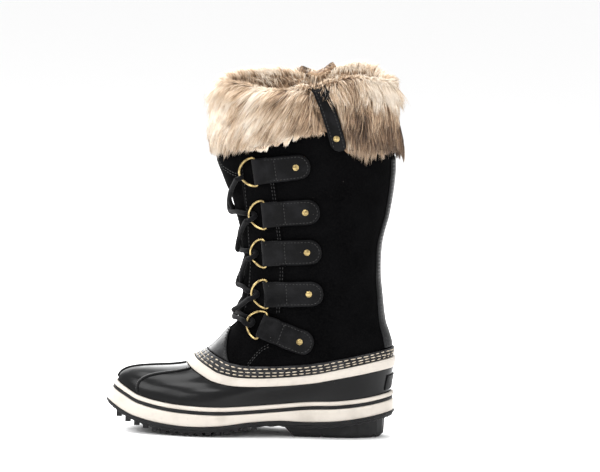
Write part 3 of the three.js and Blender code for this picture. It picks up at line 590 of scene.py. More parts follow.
def pressed(points):
    """How far the creases push a point of the suede in or out."""
    x, y, z = points[..., 0] + lean_at(points[..., 2]), points[..., 1], points[..., 2]
    moved = np.zeros_like(x)
    for middle_x, middle_z, reach, width, slope, depth, side in creases:
        tilt = slope * degree
        along = (x - middle_x) * math.cos(tilt) - (z - middle_z) * math.sin(tilt)
        across = (x - middle_x) * math.sin(tilt) + (z - middle_z) * math.cos(tilt)
        near = np.exp(-(along / reach) ** 4 - (across / width) ** 2)
        here = 1 if side == 0 else (np.sign(y) == side)
        moved -= depth * near * here * np.clip(np.abs(y) / 20, 0, 1)
    return moved


def spread_out(*values):
    """Numbers and arrays as arrays of one shape."""
    return np.broadcast_arrays(*[np.asarray(value, float) for value in values])


def shaft(u, level, out):
    """A point so far outside the suede, creases and all."""
    u, level, out = spread_out(u, level, out)
    bare = shaft_point(u, level)
    return bare + normal_of(shaft_point, u, level) * (out + pressed(bare))[..., None]


def shaft_place(x, z, side):
    """The place on the shaft at x and z seen from the side, where x leaves out the lean."""
    x, z = spread_out(x, z)
    level = np.full(x.shape, 8.0)
    u = np.full(x.shape, toe / 2)
    for _ in range(60):
        front = read(shaft_rings, "front", level) * shaft_depth
        rear = read(shaft_rings, "rear", level) * shaft_depth
        share = np.clip((rear - x) / (rear - front), 0.001, 0.999)
        u = np.arccos(1 - 2 * share)
        level = level + (z - shaft_point(u, level)[..., 2]) / 40
    return u * -side, level


def on_shaft(x, z, side, out):
    u, level = shaft_place(x, z, side)
    return shaft(u, level, out)


# Rubber foot
# A one-piece moulded black rubber shell over the toes, the sides and the heel, glossy, with three raised
# roped ribs that run from the collar's front to the toe.
shell_wall = 2.4
ridge_spacing = 17


def shell_point(u, t):
    """The shell's outside, from the bead's top, at 0, to its own top edge, at 1."""
    rise_at_bead = 0.82
    lean_at_top = 1.05
    low = side_point(u, np.ones_like(u), np.full_like(u, -band_thickness - loose_clearance))
    edge = np.ones_like(u)
    high = shaft_point(u, edge) + normal_of(shaft_point, u, edge) * (shell_wall + clearance)
    reach = np.linalg.norm(high - low, axis=-1)
    point = low * ((1 + 2 * t) * (1 - t) ** 2)[..., None] + high * (t * t * (3 - 2 * t))[..., None]
    point[..., 2] += t * (1 - t) ** 2 * rise_at_bead * reach
    return point + (high - low) * (t * t * (t - 1) * lean_at_top)[..., None]


def shell(u, v, out):
    return shell_point(u, v) + normal_of(shell_point, u, v) * np.asarray(out)[..., None]


outer_share = 0.6
edge_share = 0.64


def shell_place(a, b):
    """The outside upwards, over the top edge, and the inside down again."""
    u = a * full_turn
    outer = b <= outer_share
    inner_v = (1 - b) / (1 - edge_share)
    v = np.where(outer, b / outer_share, np.where(b < edge_share, 1, inner_v))
    wall = np.where(b < edge_share, 0, -shell_wall)
    foot = side_point(u, np.full_like(u, clearance / side_height), -band_thickness - loose_clearance + wall)
    points = shell(u, np.clip(v, 0, 1), wall)
    at_foot = (b < 1e-6) | (b > 1 - 1e-6)
    return np.where(at_foot[..., None], foot, points)


shell_mesh = bmesh.new()
lay_grid(shell_mesh, shell_place, 260, 44, (map_round, 100))
rubber_foot = close_mesh("rubber_foot", shell_mesh)

glossy, tree, surface = start_finish("glossy_rubber", {
    "Specular IOR Level": 0.13, "Coat Roughness": 0.16, "Coat IOR": 1.3,
})
scuff = add_group(tree, blotches, Scale=26, Low=0.5, High=0.72)
haze = add_group(tree, blotches, Scale=120, Low=0.5, High=0.8)
glossy_colour = blend_colour(tree, scuff, (0.0015, 0.0015, 0.0018), (0.005, 0.005, 0.0055))
lint = add_group(tree, specks, Scale=240, Size=0.07, Share=0.05)
glossy_colour = blend_colour(tree, lint, glossy_colour, (0.12, 0.12, 0.115))
paint(tree, surface, glossy_colour, scale_value(tree, haze, 0.28, 0.44))
tree.links.new(scale_value(tree, scuff, 0.4, 0.12), surface.inputs["Coat Weight"])
add_bumps(tree, surface, [
    (add_group(tree, blotches, Scale=22, Low=0.2, High=0.8), 1.1, 0.4),
    (add_group(tree, grain, Scale=900, Fine=0.5), 0.05, 0.35),
])
dress(rubber_foot, glossy, ["shell"])


def shape_of(mesh):
    """A bmesh as arrays: its points, the corners of its faces and each face's first corner."""
    mesh.verts.ensure_lookup_table()
    points = np.array([vertex.co[:] for vertex in mesh.verts])
    corners = [vertex.index for face in mesh.faces for vertex in face.verts]
    starts = np.cumsum([0, *[len(face.verts) for face in mesh.faces]])[:-1]
    mesh.free()
    return points, np.array(corners), starts


def lay_copies(name, copies, corners, starts):
    """One mesh of many copies of a small shape, given the points of each copy in millimetres."""
    count, size = copies.shape[:2]
    order = np.arange(count)[:, None]
    data = bpy.data.meshes.new(name)
    data.vertices.add(count * size)
    data.vertices.foreach_set("co", (copies * millimetre).ravel())
    data.loops.add(count * len(corners))
    data.loops.foreach_set("vertex_index", (corners[None, :] + order * size).ravel())
    data.polygons.add(count * len(starts))
    data.polygons.foreach_set("loop_start", (starts[None, :] + order * len(corners)).ravel())
    data.update(calc_edges=True)
    data.shade_smooth()
    piece = bpy.data.objects.new(name, data)
    bpy.context.scene.collection.objects.link(piece)
    return piece


def strew(name, shape, frames):
    """One mesh of a small shape repeated at many frames, which are in millimetres."""
    points, corners, starts = shape
    frames = np.asarray(frames)
    copies = np.einsum("kij,nj->kni", frames[:, :3, :3], points) + frames[:, None, :3, 3]
    return lay_copies(name, copies, corners, starts)


def frame_at(middle, along, normal, size):
    """A frame at a place: x along a line, z out of the surface, and its three sizes."""
    x = unit(np.asarray(along))
    y = unit(np.cross(normal, x))
    z = np.cross(x, y)
    made = np.eye(4)
    made[:3, 0] = x * size[0]
    made[:3, 1] = y * size[1]
    made[:3, 2] = z * size[2]
    made[:3, 3] = middle
    return made


def run_of(points):
    """How far along a line each of its points is."""
    return np.concatenate([[0], np.cumsum(np.linalg.norm(np.diff(points, axis=0), axis=1))])


def read_line(values, run, stop):
    """The points or directions at stops along a line."""
    return np.stack([np.interp(stop, run, values[:, k]) for k in range(3)], axis=-1)


def walk(points, normals, pitch):
    """Places every pitch millimetres along a line: middle, direction and normal."""
    reach = 0.2
    run = run_of(points)
    stops = np.arange(pitch / 2, run[-1], pitch)
    ahead = read_line(points, run, np.minimum(stops + reach, run[-1]))
    behind = read_line(points, run, np.maximum(stops - reach, 0))
    return zip(read_line(points, run, stops), ahead - behind, read_line(normals, run, stops))


def bead_shape(around, along):
    mesh = bmesh.new()
    bmesh.ops.create_uvsphere(mesh, u_segments=around, v_segments=along, radius=1)
    bmesh.ops.rotate(mesh, verts=mesh.verts, matrix=Matrix.Rotation(math.pi / 2, 3, "Y"))
    return shape_of(mesh)


rib_frames = []
rib_twist = 38 * degree
rib_pitch = 1.9
rib_bead = (2.1, 1.15, 1.35)
rib_low = 0.05
rib_high = 0.985
rib_spread_low = 2.1
rib_spread_high = 0.94
for side in (-1, 0, 1):
    t = np.linspace(0, 1, 120)
    spread = rib_spread_low + (rib_spread_high - rib_spread_low) * t
    spread = toe + side * ridge_spacing * spread * degree
    v = rib_low + (rib_high - rib_low) * t
    line = shell(spread, v, np.full_like(t, 0.45))
    for middle, along, normal in walk(line, normal_of(shell_point, spread, v), rib_pitch):
        across = unit(np.cross(normal, along))
        slanted = unit(along) * math.cos(rib_twist) + across * math.sin(rib_twist)
        rib_frames.append(frame_at(middle, slanted, normal, rib_bead))
ribs = strew("toe_ribs", bead_shape(8, 6), rib_frames)
dress(ribs, glossy)

# Collar band
# A cream rubber band moulded round the rubber foot's top edge. It stands a little proud of the shell, and
# has a fine groove near its own top.
level_gap = 0.035
collar_bottom = 1
collar_top = 2
rand_top = 3
collar_section = loop_table([
    (0, loose_clearance), (0, 3.5), (0.035, 4.0), (0.1, 4.3), (0.3, 4.5), (0.6, 4.5), (0.84, 4.3),
    (0.88, 3.9), (0.92, 4.3), (0.97, 4.1), (1, 3.6), (1, loose_clearance),
])


def collar_place(a, b):
    height, out = read_loop(collar_section, b)
    low = collar_bottom + level_gap
    return shaft(a * full_turn, low + (collar_top - low) * height, out)


collar = lay_skin("collar_band", collar_place, 320, len(collar_section["at"]) - 1, (map_round, 1))
dress(collar, cream, ["shell_band"])

# Rand
# A strip of waxed black leather round the boot above the cream collar, sewn through with three rows of
# thick cream thread. It is rubbed grey and slightly buckled by the sewing.
rand_section = loop_table([
    (0, loose_clearance), (0, 1.9), (0.04, 2.25), (0.1, 2.4), (0.16, 2.4), (0.2, 2.4), (0.24, 2.4),
    (0.32, 2.45), (0.42, 2.45), (0.46, 2.4), (0.5, 2.4), (0.54, 2.4), (0.62, 2.45), (0.72, 2.4),
    (0.76, 2.4), (0.8, 2.4), (0.84, 2.4), (0.92, 2.3), (0.97, 2.1), (1, 1.6), (1, loose_clearance),
])
rand_rows = (0.2, 0.5, 0.8)
rand_step = rand_top - collar_top - level_gap


def rand_buckle(u, share):
    """The strip lies lower along its rows of stitches and swells between them."""
    groove_depth = 0.45
    groove_width = 0.06
    rows = sum(np.exp(-((share - row) / groove_width) ** 2) for row in rand_rows)
    waves = 0.25 * np.sin(u * 61) * np.sin(share * math.pi) + 0.15 * np.sin(u * 113 + 2)
    return waves - groove_depth * rows


def rand_place(a, b):
    share, out = read_loop(rand_section, b)
    u = a * full_turn
    buckled = out + rand_buckle(u, share) * (out > 1)
    return shaft(u, collar_top + level_gap + rand_step * share, buckled)


rand = lay_skin("rand_strip", rand_place, 420, len(rand_section["at"]) - 1, (map_round, 12))
waxed, tree, surface = start_finish("waxed_leather", {"Specular IOR Level": 0.2})
rubbed = add_group(tree, blotches, Scale=60, Low=0.42, High=0.68)
rubbed_fine = add_group(tree, blotches, Scale=260, Low=0.45, High=0.7)
waxed_colour = blend_colour(tree, rubbed, (0.004, 0.004, 0.0045), (0.022, 0.0225, 0.024))
rubbed_thin = scale_value(tree, rubbed_fine, 0, 0.35)
waxed_colour = blend_colour(tree, rubbed_thin, waxed_colour, (0.07, 0.07, 0.073))
paint(tree, surface, waxed_colour, scale_value(tree, rubbed_fine, 0.32, 0.55))
add_bumps(tree, surface, [
    (add_group(tree, blotches, Scale=110, Low=0.3, High=0.7), 0.5, 0.5),
    (add_group(tree, grain, Scale=800, Fine=0.4), 0.15, 0.5),
])
dress(rand, waxed, ["rand"])

# Thread
# The rows of stitches: thick cream thread on the rand and grey-black thread on the leather. Each stitch
# is a short strand that dives into its two holes.


def spin_thread(name, shader, light, dark):
    material, tree, surface = start_finish(name, shader)
    shade = add_group(tree, blotches, Scale=420, Low=0.35, High=0.65)
    paint(tree, surface, blend_colour(tree, shade, light, dark))
    add_bumps(tree, surface, [(add_group(tree, grain, Scale=2600, Fine=0.3), 0.1, 0.7)])
    return material


cream_thread = spin_thread(
    "cream_thread", {"Specular IOR Level": 0.25, "Roughness": 0.8}, (0.62, 0.54, 0.43), (0.42, 0.35, 0.27),
)
dark_thread = spin_thread(
    "dark_thread", {"Specular IOR Level": 0.35, "Roughness": 0.6}, (0.007, 0.007, 0.0074),
    (0.026, 0.0255, 0.025),
)
stitch_shape = bead_shape(5, 4)

# A stitch's length, the gap to the next one and half its width.
rand_stitch = (5.4, 1.4, 0.62)
seam_stitch = (2.6, 1.1, 0.42)
fine_stitch = (2.4, 1.0, 0.42)
strap_stitch = (2.6, 1.0, 0.45)


def stitch_frames(line, normals, stitch):
    """Frames of the stitches on one row, each a strand a little flatter than it is wide."""
    length, gap, thickness = stitch
    size = (length / 2, thickness, thickness * 0.8)
    return [
        frame_at(middle + unit(normal) * thickness * 0.15, along, normal, size)
        for middle, along, normal in walk(line, normals, length + gap)
    ]


frames = []
for row, height in enumerate(rand_rows):
    u = np.linspace(0.13, full_turn + 0.22, 700) + 0.02 * row
    share = height + 0.02 * np.sin(u * 9 + 2 * row)
    level = collar_top + level_gap + rand_step * share
    line = shaft(u, level, 2.45 + rand_buckle(u, share))
    frames += stitch_frames(line, normal_of(shaft_point, u, level), rand_stitch)
rand_stitches = strew("rand_stitches", stitch_shape, frames)
dress(rand_stitches, cream_thread)

# Upper
# Black suede cut in one piece round the shaft and open down the front, where its two edges stand at the
# sides of the tongue. It carries lint, and its nap is brushed in soft patches.


def throat_half(level):
    return read(shaft_rings, "throat", level) * degree


def upper_place(a, b):
    level = 1.6 + (shaft_end - 1.6) * b
    opened = np.clip((level - throat_bottom + 0.25) / 0.5, 0, 1)
    half = throat_half(level) * opened * opened * (3 - 2 * opened)
    u = toe - half - a * (full_turn - 2 * half)
    return shaft(u, level, 0)


def thicken(piece, thickness):
    """Gives a sheet its wall, inwards."""
    wall = piece.modifiers.new("wall", "SOLIDIFY")
    wall.thickness = thickness * millimetre
    wall.offset = -1


suede_axis = (-20, 0, 160)
upper_mesh = bmesh.new()
lay_grid(upper_mesh, upper_place, 180, 100, (480, 300))
upper = close_mesh("suede_upper", upper_mesh, suede_axis)
thicken(upper, shaft_wall)

suede, tree, surface = start_finish("black_suede", {
    "Roughness": 0.95, "Specular IOR Level": 0.02, "Sheen Weight": 0.008, "Sheen Roughness": 0.5,
})
nap = add_group(tree, blotches, Scale=34, Low=0.35, High=0.7)
fibre = add_group(tree, blotches, Scale=900, Low=0.4, High=0.65)
lint = add_group(tree, specks, Scale=170, Size=0.055, Share=0.045)
suede_colour = blend_colour(tree, nap, (0.0006, 0.0006, 0.0008), (0.0018, 0.0018, 0.0021))
suede_colour = blend_colour(tree, scale_value(tree, fibre, 0, 0.6), suede_colour, (0.004, 0.0039, 0.004))
suede_colour = blend_colour(tree, lint, suede_colour, (0.2, 0.18, 0.16))
paint(tree, surface, suede_colour)
add_bumps(tree, surface, [
    (add_group(tree, blotches, Scale=80, Low=0.2, High=0.8), 0.4, 0.4),
    (add_group(tree, grain, Scale=1800, Fine=0.8), 0.12, 0.8),
])
dress(upper, suede, ["upper"])


def lay_overlay(name, low, high, edges, out, columns, rows, size, thickness):
    """A leather piece that follows the shaft between two rings; edges gives its two angles at a ring."""

    def place(a, b):
        level = low + (high - low) * b
        first, last = edges(level)
        return shaft(first + (last - first) * a, level, out(a, b))

    piece = lay_skin(name, place, columns, rows, size, suede_axis)
    thicken(piece, thickness)
    return piece


def rolled(thickness, width):
    """A leather edge: it lies down over the last part of its width, and is full height inside."""

    def out(a, b):
        edge = np.minimum(np.minimum(a, 1 - a), np.minimum(b, 1 - b))
        return clearance + thickness * (0.55 + 0.45 * np.clip(edge / width, 0, 1) ** 0.5)

    return out


# Tongue
# Padded black suede behind the laces. Its sides are tucked under the shaft's edges, and its face ripples
# where the laces have pulled it together.
tongue_thickness = 3
tongue_clearance = 1.15
tongue_top = 11.6
tongue_lap = 10 * degree


def tongue_out(level, share):
    opened = np.maximum(0, 1 - ((2 * share - 1) / 0.7) ** 2)
    risen = np.clip((level - throat_bottom) / 0.8, 0, 1)
    deep = -shaft_wall - tongue_clearance - tongue_thickness
    return deep + opened * risen * (shaft_wall + tongue_clearance) + tongue_thickness


def tongue_place(a, b):
    level = throat_bottom - 0.35 + (tongue_top - throat_bottom + 0.35) * b
    half = throat_half(level) + tongue_lap
    ripple = 0.35 * np.sin(b * 42) * np.sin(a * math.pi) + 0.2 * np.sin(b * 23 + a * 4)
    return shaft(toe + half * (1 - 2 * a), level, tongue_out(level, a) + ripple)


tongue = lay_skin("tongue_pad", tongue_place, 36, 100, (90, 200), suede_axis)
thicken(tongue, tongue_thickness)
dress(tongue, suede, ["tongue"])

# Smooth leather pieces
# The vamp panel over the instep, between the rand and the foot of the throat, and the stay up the back,
# both of smooth black leather with a double row of stitches at their edges.
leather_thickness = 1.4
backstay_width = 34

smooth_leather, tree, surface = start_finish("smooth_leather", {"Specular IOR Level": 0.2})
rub = add_group(tree, blotches, Scale=45, Low=0.45, High=0.7)
leather_colour = blend_colour(tree, rub, (0.003, 0.003, 0.0034), (0.013, 0.0133, 0.0145))
paint(tree, surface, leather_colour, scale_value(tree, rub, 0.3, 0.46))
add_bumps(tree, surface, [
    (add_group(tree, blotches, Scale=70, Low=0.25, High=0.75), 0.6, 0.45),
    (add_group(tree, grain, Scale=720, Fine=0.35), 0.14, 0.6),
])

vamp_low = rand_top + level_gap
vamp_high = throat_bottom - 0.05


def vamp_half(level):
    share = (level - rand_top) / (throat_bottom - rand_top)
    return (40 + (9 - 40) * share) * degree


def vamp_edges(level):
    return toe + vamp_half(level), toe - vamp_half(level)


vamp = lay_overlay(
    "vamp_panel", vamp_low, vamp_high, vamp_edges, rolled(leather_thickness, 0.05), 60, 40, (70, 30),
    leather_thickness,
)
dress(vamp, smooth_leather, ["vamp"])


def backstay_half(level, inset=0):
    half = read(shaft_rings, "half", level) * shaft_width
    return np.arcsin(((backstay_width / 2 - inset) / half) ** (1 / (plump + 0.1)))


def backstay_edges(level):
    return backstay_half(level), -backstay_half(level)


backstay_low = rand_top + 0.1
backstay_high = 11.2
backstay = lay_overlay(
    "back_stay", backstay_low, backstay_high, backstay_edges, rolled(leather_thickness, 0.06), 20, 80,
    (backstay_width, 190), leather_thickness,
)
dress(backstay, smooth_leather, ["backstay"])


def seam_frames(low, high, angle, out):
    """Stitches up a line of the shaft, whose angle is given at each ring."""
    level = np.linspace(low, high, 240)
    u = angle(level)
    line = shaft(u, level, out)
    return stitch_frames(line, normal_of(shaft_point, u, level), seam_stitch)


frames = []
leather_top = clearance + leather_thickness
for side in (-1, 1):
    for inset in (2.2, 4.6):
        frames += seam_frames(
            backstay_low + 0.05, backstay_high, lambda level: -side * backstay_half(level, inset),
            leather_top,
        )
        frames += seam_frames(
            vamp_low + 0.04, vamp_high - 0.02,
            lambda level: toe + side * (vamp_half(level) - inset * 0.85 * degree), leather_top,
        )
leather_stitches = strew("leather_stitches", stitch_shape, frames)
dress(leather_stitches, dark_thread)

# Eyestays
# A second layer of suede down each side of the throat, which carries the ring tabs. Its rear edge is a
# seam with two rows of stitches, and one row follows the throat.
eyestay_thickness = 0.9
eyestay_low = 5.45
eyestay_high = 11.1
eyestay_seam = make_table("at x", [
    (4.7, -0.36), (6, -0.345), (7, -0.331), (9, -0.36), (11, -0.4), (12, -0.42),
])
both_sides = (("medial", -1), ("lateral", 1))


def seam_angle(level, shift=0):
    """The angle of the eyestay's rear seam at a ring; shift moves it towards the heel, in millimetres."""
    front = read(shaft_rings, "front", level) * shaft_depth
    rear = read(shaft_rings, "rear", level) * shaft_depth
    seam = read(eyestay_seam, "x", level) * shaft_depth + shift
    return np.arccos(1 - 2 * (rear - seam) / (rear - front))


frames = []
for side_name, side in both_sides:

    def eyestay_edges(level):
        lip = toe - throat_half(level) - degree
        seam = seam_angle(level)
        return (lip, seam) if side < 0 else (-seam, -lip)

    eyestay = lay_overlay(
        f"eyestay_layer_{side_name}", eyestay_low, eyestay_high, eyestay_edges,
        rolled(eyestay_thickness, 0.05), 22, 76, (40, 150), eyestay_thickness,
    )
    dress(eyestay, suede, [f"eyestay_{side_name}"])
    for shift in (-1.8, -4.2):
        frames += seam_frames(
            eyestay_low + 0.05, eyestay_high - 0.05, lambda level: -side * seam_angle(level, shift),
            clearance + eyestay_thickness,
        )
    frames += seam_frames(
        eyestay_low + 0.05, eyestay_high - 0.05,
        lambda level: -side * (toe - throat_half(level) - 3.5 * degree), clearance + eyestay_thickness,
    )
# Two more seams cross the suede: one along the top trim, round the front, and one over the vamp's side.
trim_seam = [(-131, 277), (-125, 269), (-116, 264.5), (-106, 262)]
quarter_seam = [(-74, 94), (-81, 90), (-88, 83), (-95, 74)]
for side in (-1, 1):
    for places, out in ((trim_seam, clearance + eyestay_thickness), (quarter_seam, 0.1)):
        for drop in (0, 2.6):
            across, up = np.array(places).T
            turns = np.linspace(0, len(places) - 1, 40)
            x = np.interp(turns, range(len(places)), across) + lean_at(up.mean())
            z = np.interp(turns, range(len(places)), up) - drop
            u, level = shaft_place(x, z, side)
            frames += stitch_frames(shaft(u, level, out), normal_of(shaft_point, u, level), fine_stitch)
suede_stitches = strew("suede_stitches", stitch_shape, frames)
dress(suede_stitches, dark_thread)

# Ring tabs
# Ten charcoal leather tabs, five a side. Each is folded round its ring's bar, sewn across behind the
# ring and round its edge, and riveted at its round end.
tab_height = 26
tab_thickness = 2
tab_loop_wall = 1.3
wire_radius = 1.15
ring_height = 30.8
ring_depth = 19.5
loop_radius = wire_radius + clearance + tab_loop_wall
tab_lift = clearance + eyestay_thickness + loose_clearance + clearance
bar_lift = tab_lift + loop_radius - 0.1
stitch_inset = 2.4
fold_seam = 18.5
edge_seam_start = 8.5

# From the top one down: the bar's place as shares of the shaft's depth and top, the tilt in degrees down
# towards the back, and the length from the bar to the round end as a share of the shaft's depth.
tabs = [
    (-0.486, 0.791, -8.5, 0.303),
    (-0.434, 0.664, -6, 0.303),
    (-0.431, 0.5485, -4.5, 0.309),
    (-0.423, 0.4265, -3.5, 0.311),
    (-0.45, 0.3285, 20, 0.297),
]


def tab_point(tab, side, along, up, out):
    """A point of a tab: along runs from its ring's bar to its round end, and up along the bar."""
    bar_x, bar_z, tilt, _ = tab
    turn = tilt * degree
    x = bar_x * shaft_depth + along * math.cos(turn) + up * math.sin(turn)
    z = bar_z * shaft_top - along * math.sin(turn) + up * math.cos(turn)
    return on_shaft(x, z, side, out)


def tab_frame(tab, side):
    """The middle of a tab's bar, the bar's direction and the way from it to the throat."""
    zero = np.zeros(1)
    bar = tab_point(tab, side, zero, zero, bar_lift)[0]
    above = tab_point(tab, side, zero, zero + 8, bar_lift)[0]
    below = tab_point(tab, side, zero, zero - 8, bar_lift)[0]
    up = unit(above - below)
    forward = unit(tab_point(tab, side, zero - 0.85 * ring_depth, zero, bar_lift)[0] - bar)
    return bar, up, forward, unit(np.cross(forward, up))


def tab_half(tab, along):
    """Half the tab's height: straight, then round at its end."""
    radius = tab_height / 2
    straight = tab[3] * shaft_depth - radius
    past = np.clip((along - straight) / radius, 0, 1)
    return np.maximum((radius - clearance) * np.sqrt(np.maximum(1 - past ** 2.3, 0)), 0.05)


# The tab's top, from under the bar over the fold to the round end: the way along, and out of the suede.
fold_share = 0.36
fold_end = 13.5
fold = make_table("at along out", [
    (0, 1.2, tab_lift + 0.4),
    (0.04, -1.6, bar_lift - 2.3),
    (0.08, -loop_radius, bar_lift),
    (0.12, -1.9, bar_lift + 2),
    (0.16, 0.2, bar_lift + loop_radius),
    (0.2, 3.2, bar_lift + 1.6),
    (0.25, 6.4, tab_lift + tab_thickness + 0.9),
    (0.3, 9.4, tab_lift + tab_thickness + 0.35),
    (fold_share, fold_end, tab_lift + tab_thickness + 0.3),
    (1, 53, tab_lift + tab_thickness),
])
charcoal, tree, surface = start_finish("charcoal_leather", {"Specular IOR Level": 0.09})
rub = add_group(tree, blotches, Scale=70, Low=0.42, High=0.7)
tab_colour = blend_colour(tree, rub, (0.0016, 0.0016, 0.0019), (0.006, 0.006, 0.0068))
lint = add_group(tree, specks, Scale=260, Size=0.06, Share=0.06)
tab_colour = blend_colour(tree, lint, tab_colour, (0.13, 0.12, 0.11))
paint(tree, surface, tab_colour, scale_value(tree, rub, 0.34, 0.52))
add_bumps(tree, surface, [
    (add_group(tree, blotches, Scale=110, Low=0.25, High=0.75), 0.4, 0.4),
    (add_group(tree, grain, Scale=900, Fine=0.35), 0.16, 0.7),
])

for side_name, side in both_sides:
    tab_mesh = bmesh.new()
    frames = []
    for tab in tabs:
        length = tab[3] * shaft_depth

        def place(a, b):
            past_fold = a > fold_share
            flat_share = (a - fold_share) / (1 - fold_share)
            flat_along = fold_end + (length - fold_end) * flat_share
            along = np.where(past_fold, flat_along, read(fold, "along", a))
            half = tab_half(tab, along)
            across = 2 * b - 1
            edge = np.clip((1 - np.abs(across)) * half / 1.3, 0, 1)
            end = np.clip((length - along) / 1.6, 0, 1)
            pillow = 0.85 * (1 - np.minimum(edge, end) ** 0.5) * past_fold
            seam = 0.35 * np.exp(-((along - fold_seam) / 1.0) ** 2)
            return tab_point(tab, side, along, across * half, read(fold, "out", a) - pillow - seam)

        lay_grid(tab_mesh, place, 72, 16, (length, tab_height))
        round_start = length - tab_height / 2
        edge_run = np.linspace(edge_seam_start, round_start, 40)
        radius = tab_height / 2 - clearance - stitch_inset
        turn = np.linspace(math.pi / 2, -math.pi / 2, 50)
        along = np.concatenate([edge_run, round_start + radius * np.cos(turn), edge_run[::-1]])
        straight = np.full_like(edge_run, radius)
        up = np.concatenate([straight, radius * np.sin(turn), -straight])
        top = tab_lift + tab_thickness
        rows = [(along, up), (np.full(25, fold_seam), np.linspace(-radius, radius, 25))]
        for row_along, row_up in rows:
            line = tab_point(tab, side, row_along, row_up, top)
            above = tab_point(tab, side, row_along, row_up, top + 1)
            frames += stitch_frames(line, above - line, fine_stitch)
    pieces = close_mesh(f"ring_tabs_{side_name}", tab_mesh, suede_axis)
    thicken(pieces, tab_loop_wall)
    dress(pieces, charcoal, [f"tab_{side_name}_{k + 1}" for k in range(len(tabs))])
    tab_stitches = strew(f"tab_stitches_{side_name}", stitch_shape, frames)
    dress(tab_stitches, dark_thread)

# Rings
# Bent antique brass wire: a round ring with a straight bar, which its tab's fold holds. The ring lies
# over the edge of the throat, and the lace runs through it.


def smooth_line(points, steps, closed=False):
    """A smooth line through the points, steps to each."""
    points = np.asarray(points, float)
    if closed:
        padded = np.concatenate([points[-1:], points, points[:2]])
    else:
        padded = np.concatenate([2 * points[:1] - points[1:2], points, 2 * points[-1:] - points[-2:-1]])
    t = np.linspace(0, 1, steps, endpoint=False)[:, None]
    parts = []
    for a, b, c, d in zip(padded, padded[1:], padded[2:], padded[3:]):
        parts.append(b + 0.5 * t * ((c - a) + t * (2 * a - 5 * b + 4 * c - d + t * (3 * (b - c) + d - a))))
    if not closed:
        parts.append(points[-1:])
    return np.concatenate(parts)


def lay_tube(mesh, line, radius, sides, closed=False):
    """A round cord or wire along a line. Open ends are rounded to a point."""
    if closed:
        line = np.concatenate([line, line[:1]])
    count = len(line)
    ahead = np.roll(line, -1, axis=0)
    behind = np.roll(line, 1, axis=0)
    if closed:
        ahead[-1] = line[1]
        behind[0] = line[-2]
    else:
        ahead[-1] = line[-1]
        behind[0] = line[0]
    along = unit(ahead - behind)
    normals = np.zeros_like(line)
    helper = np.array([0.3, 0.2, 1.0])
    normals[0] = unit(np.cross(along[0], helper))
    for i in range(1, count):
        carried = normals[i - 1] - along[i] * np.dot(normals[i - 1], along[i])
        normals[i] = unit(carried)
    if closed:
        last = normals[-1]
        side = np.cross(along[0], normals[0])
        gap = math.atan2(float(np.dot(last, side)), float(np.dot(last, normals[0])))
    else:
        gap = 0
    run = run_of(line)
    total = run[-1]

    def place(a, b):
        stop = a * total
        middle = read_line(line, run, stop)
        direction = unit(read_line(along, run, stop))
        normal = read_line(normals, run, stop)
        normal = unit(normal - direction * np.sum(normal * direction, axis=-1, keepdims=True))
        across = np.cross(direction, normal)
        angle = b * full_turn - gap * a
        wide = radius
        if not closed:
            end = np.minimum(stop, total - stop)
            wide = radius * np.sqrt(np.clip(1 - (1 - np.clip(end / radius, 0, 1)) ** 2, 0, 1))
        wide = np.broadcast_to(wide, a.shape)[:, None]
        return middle + wide * (normal * np.cos(angle)[:, None] + across * np.sin(angle)[:, None])

    lay_grid(mesh, place, count if closed else count + 8, sides, (total, full_turn * radius))


ring_bend = [
    (0, 0.5), (0, 0.86), (0.05, 0.97), (0.18, 1.0), (0.4, 0.93), (0.62, 0.78), (0.82, 0.53), (0.95, 0.27),
]
ring_outline = [(0, 0), *ring_bend, (1, 0), *[(along, -up) for along, up in ring_bend[::-1]]]


def ring_point(tab_axes, along, up):
    bar, upward, forward, _ = tab_axes
    forward = forward * along * (ring_depth - wire_radius)
    return bar + forward + upward * up * (ring_height / 2 - wire_radius)


brass, tree, surface = start_finish("antique_brass", {"Metallic": 1.0})
tarnish = add_group(tree, blotches, Scale=180, Low=0.4, High=0.7)
brass_colour = blend_colour(tree, tarnish, (0.45, 0.34, 0.15), (0.18, 0.13, 0.06))
paint(tree, surface, brass_colour, scale_value(tree, tarnish, 0.22, 0.45))
add_bumps(tree, surface, [(add_group(tree, grain, Scale=1100, Fine=0.6), 0.04, 0.5)])

for side_name, side in both_sides:
    ring_mesh = bmesh.new()
    for tab in tabs:
        axes = tab_frame(tab, side)
        path = smooth_line([ring_point(axes, along, up) for along, up in ring_outline], 5, closed=True)
        lay_tube(ring_mesh, path, 1.08 * wire_radius, 10, closed=True)
    rings = close_mesh(f"rings_{side_name}_wire", ring_mesh)
    dress(rings, brass, [f"ring_{side_name}_{k + 1}" for k in range(len(tabs))])

# Pull straps and cuff form
# The fur cuff is folded over the shaft's top edge, and a black leather strap runs over it on each side,
# pressed into the fur. It is stitched along both edges and riveted at its round lower end.
strap_width = 16
strap_thickness = 2.4
strap_dent = 6
fur_depth = 13
fur_lining = 10
fur_hem = 11.4
fur_crest = 13.75
strap_rivet_at = 0.24
fur_section = make_table("at level out", [
    (0, 0.02, 0.15), (0.12, 0, 0.62), (0.3, 0.28, 1), (0.48, 0.66, 1.05), (0.6, 0.9, 0.8), (0.7, 1, 0.15),
    (0.8, 0.92, -0.62), (0.9, 0.66, -0.85), (1, 0.36, -0.6),
])
strap_run = make_table("at x", [
    (0.16, -0.029), (0.24, -0.046), (0.4, -0.085), (0.6, -0.135), (0.7, -0.15), (0.8, -0.16),
    (0.88, -0.165),
])

# How far the crest stands over its plain height, on the inner and on the outer side of the foot.
crest_shift = make_table("at medial lateral", [
    (-140, -3, -4), (-110, -4, -1), (-75, -8, 3), (-45, -7, 3), (-24, -2, 2), (-8, 2, 8), (8, 5, 12),
    (24, 5, 11), (42, 1, 2), (62, -5, -7),
])


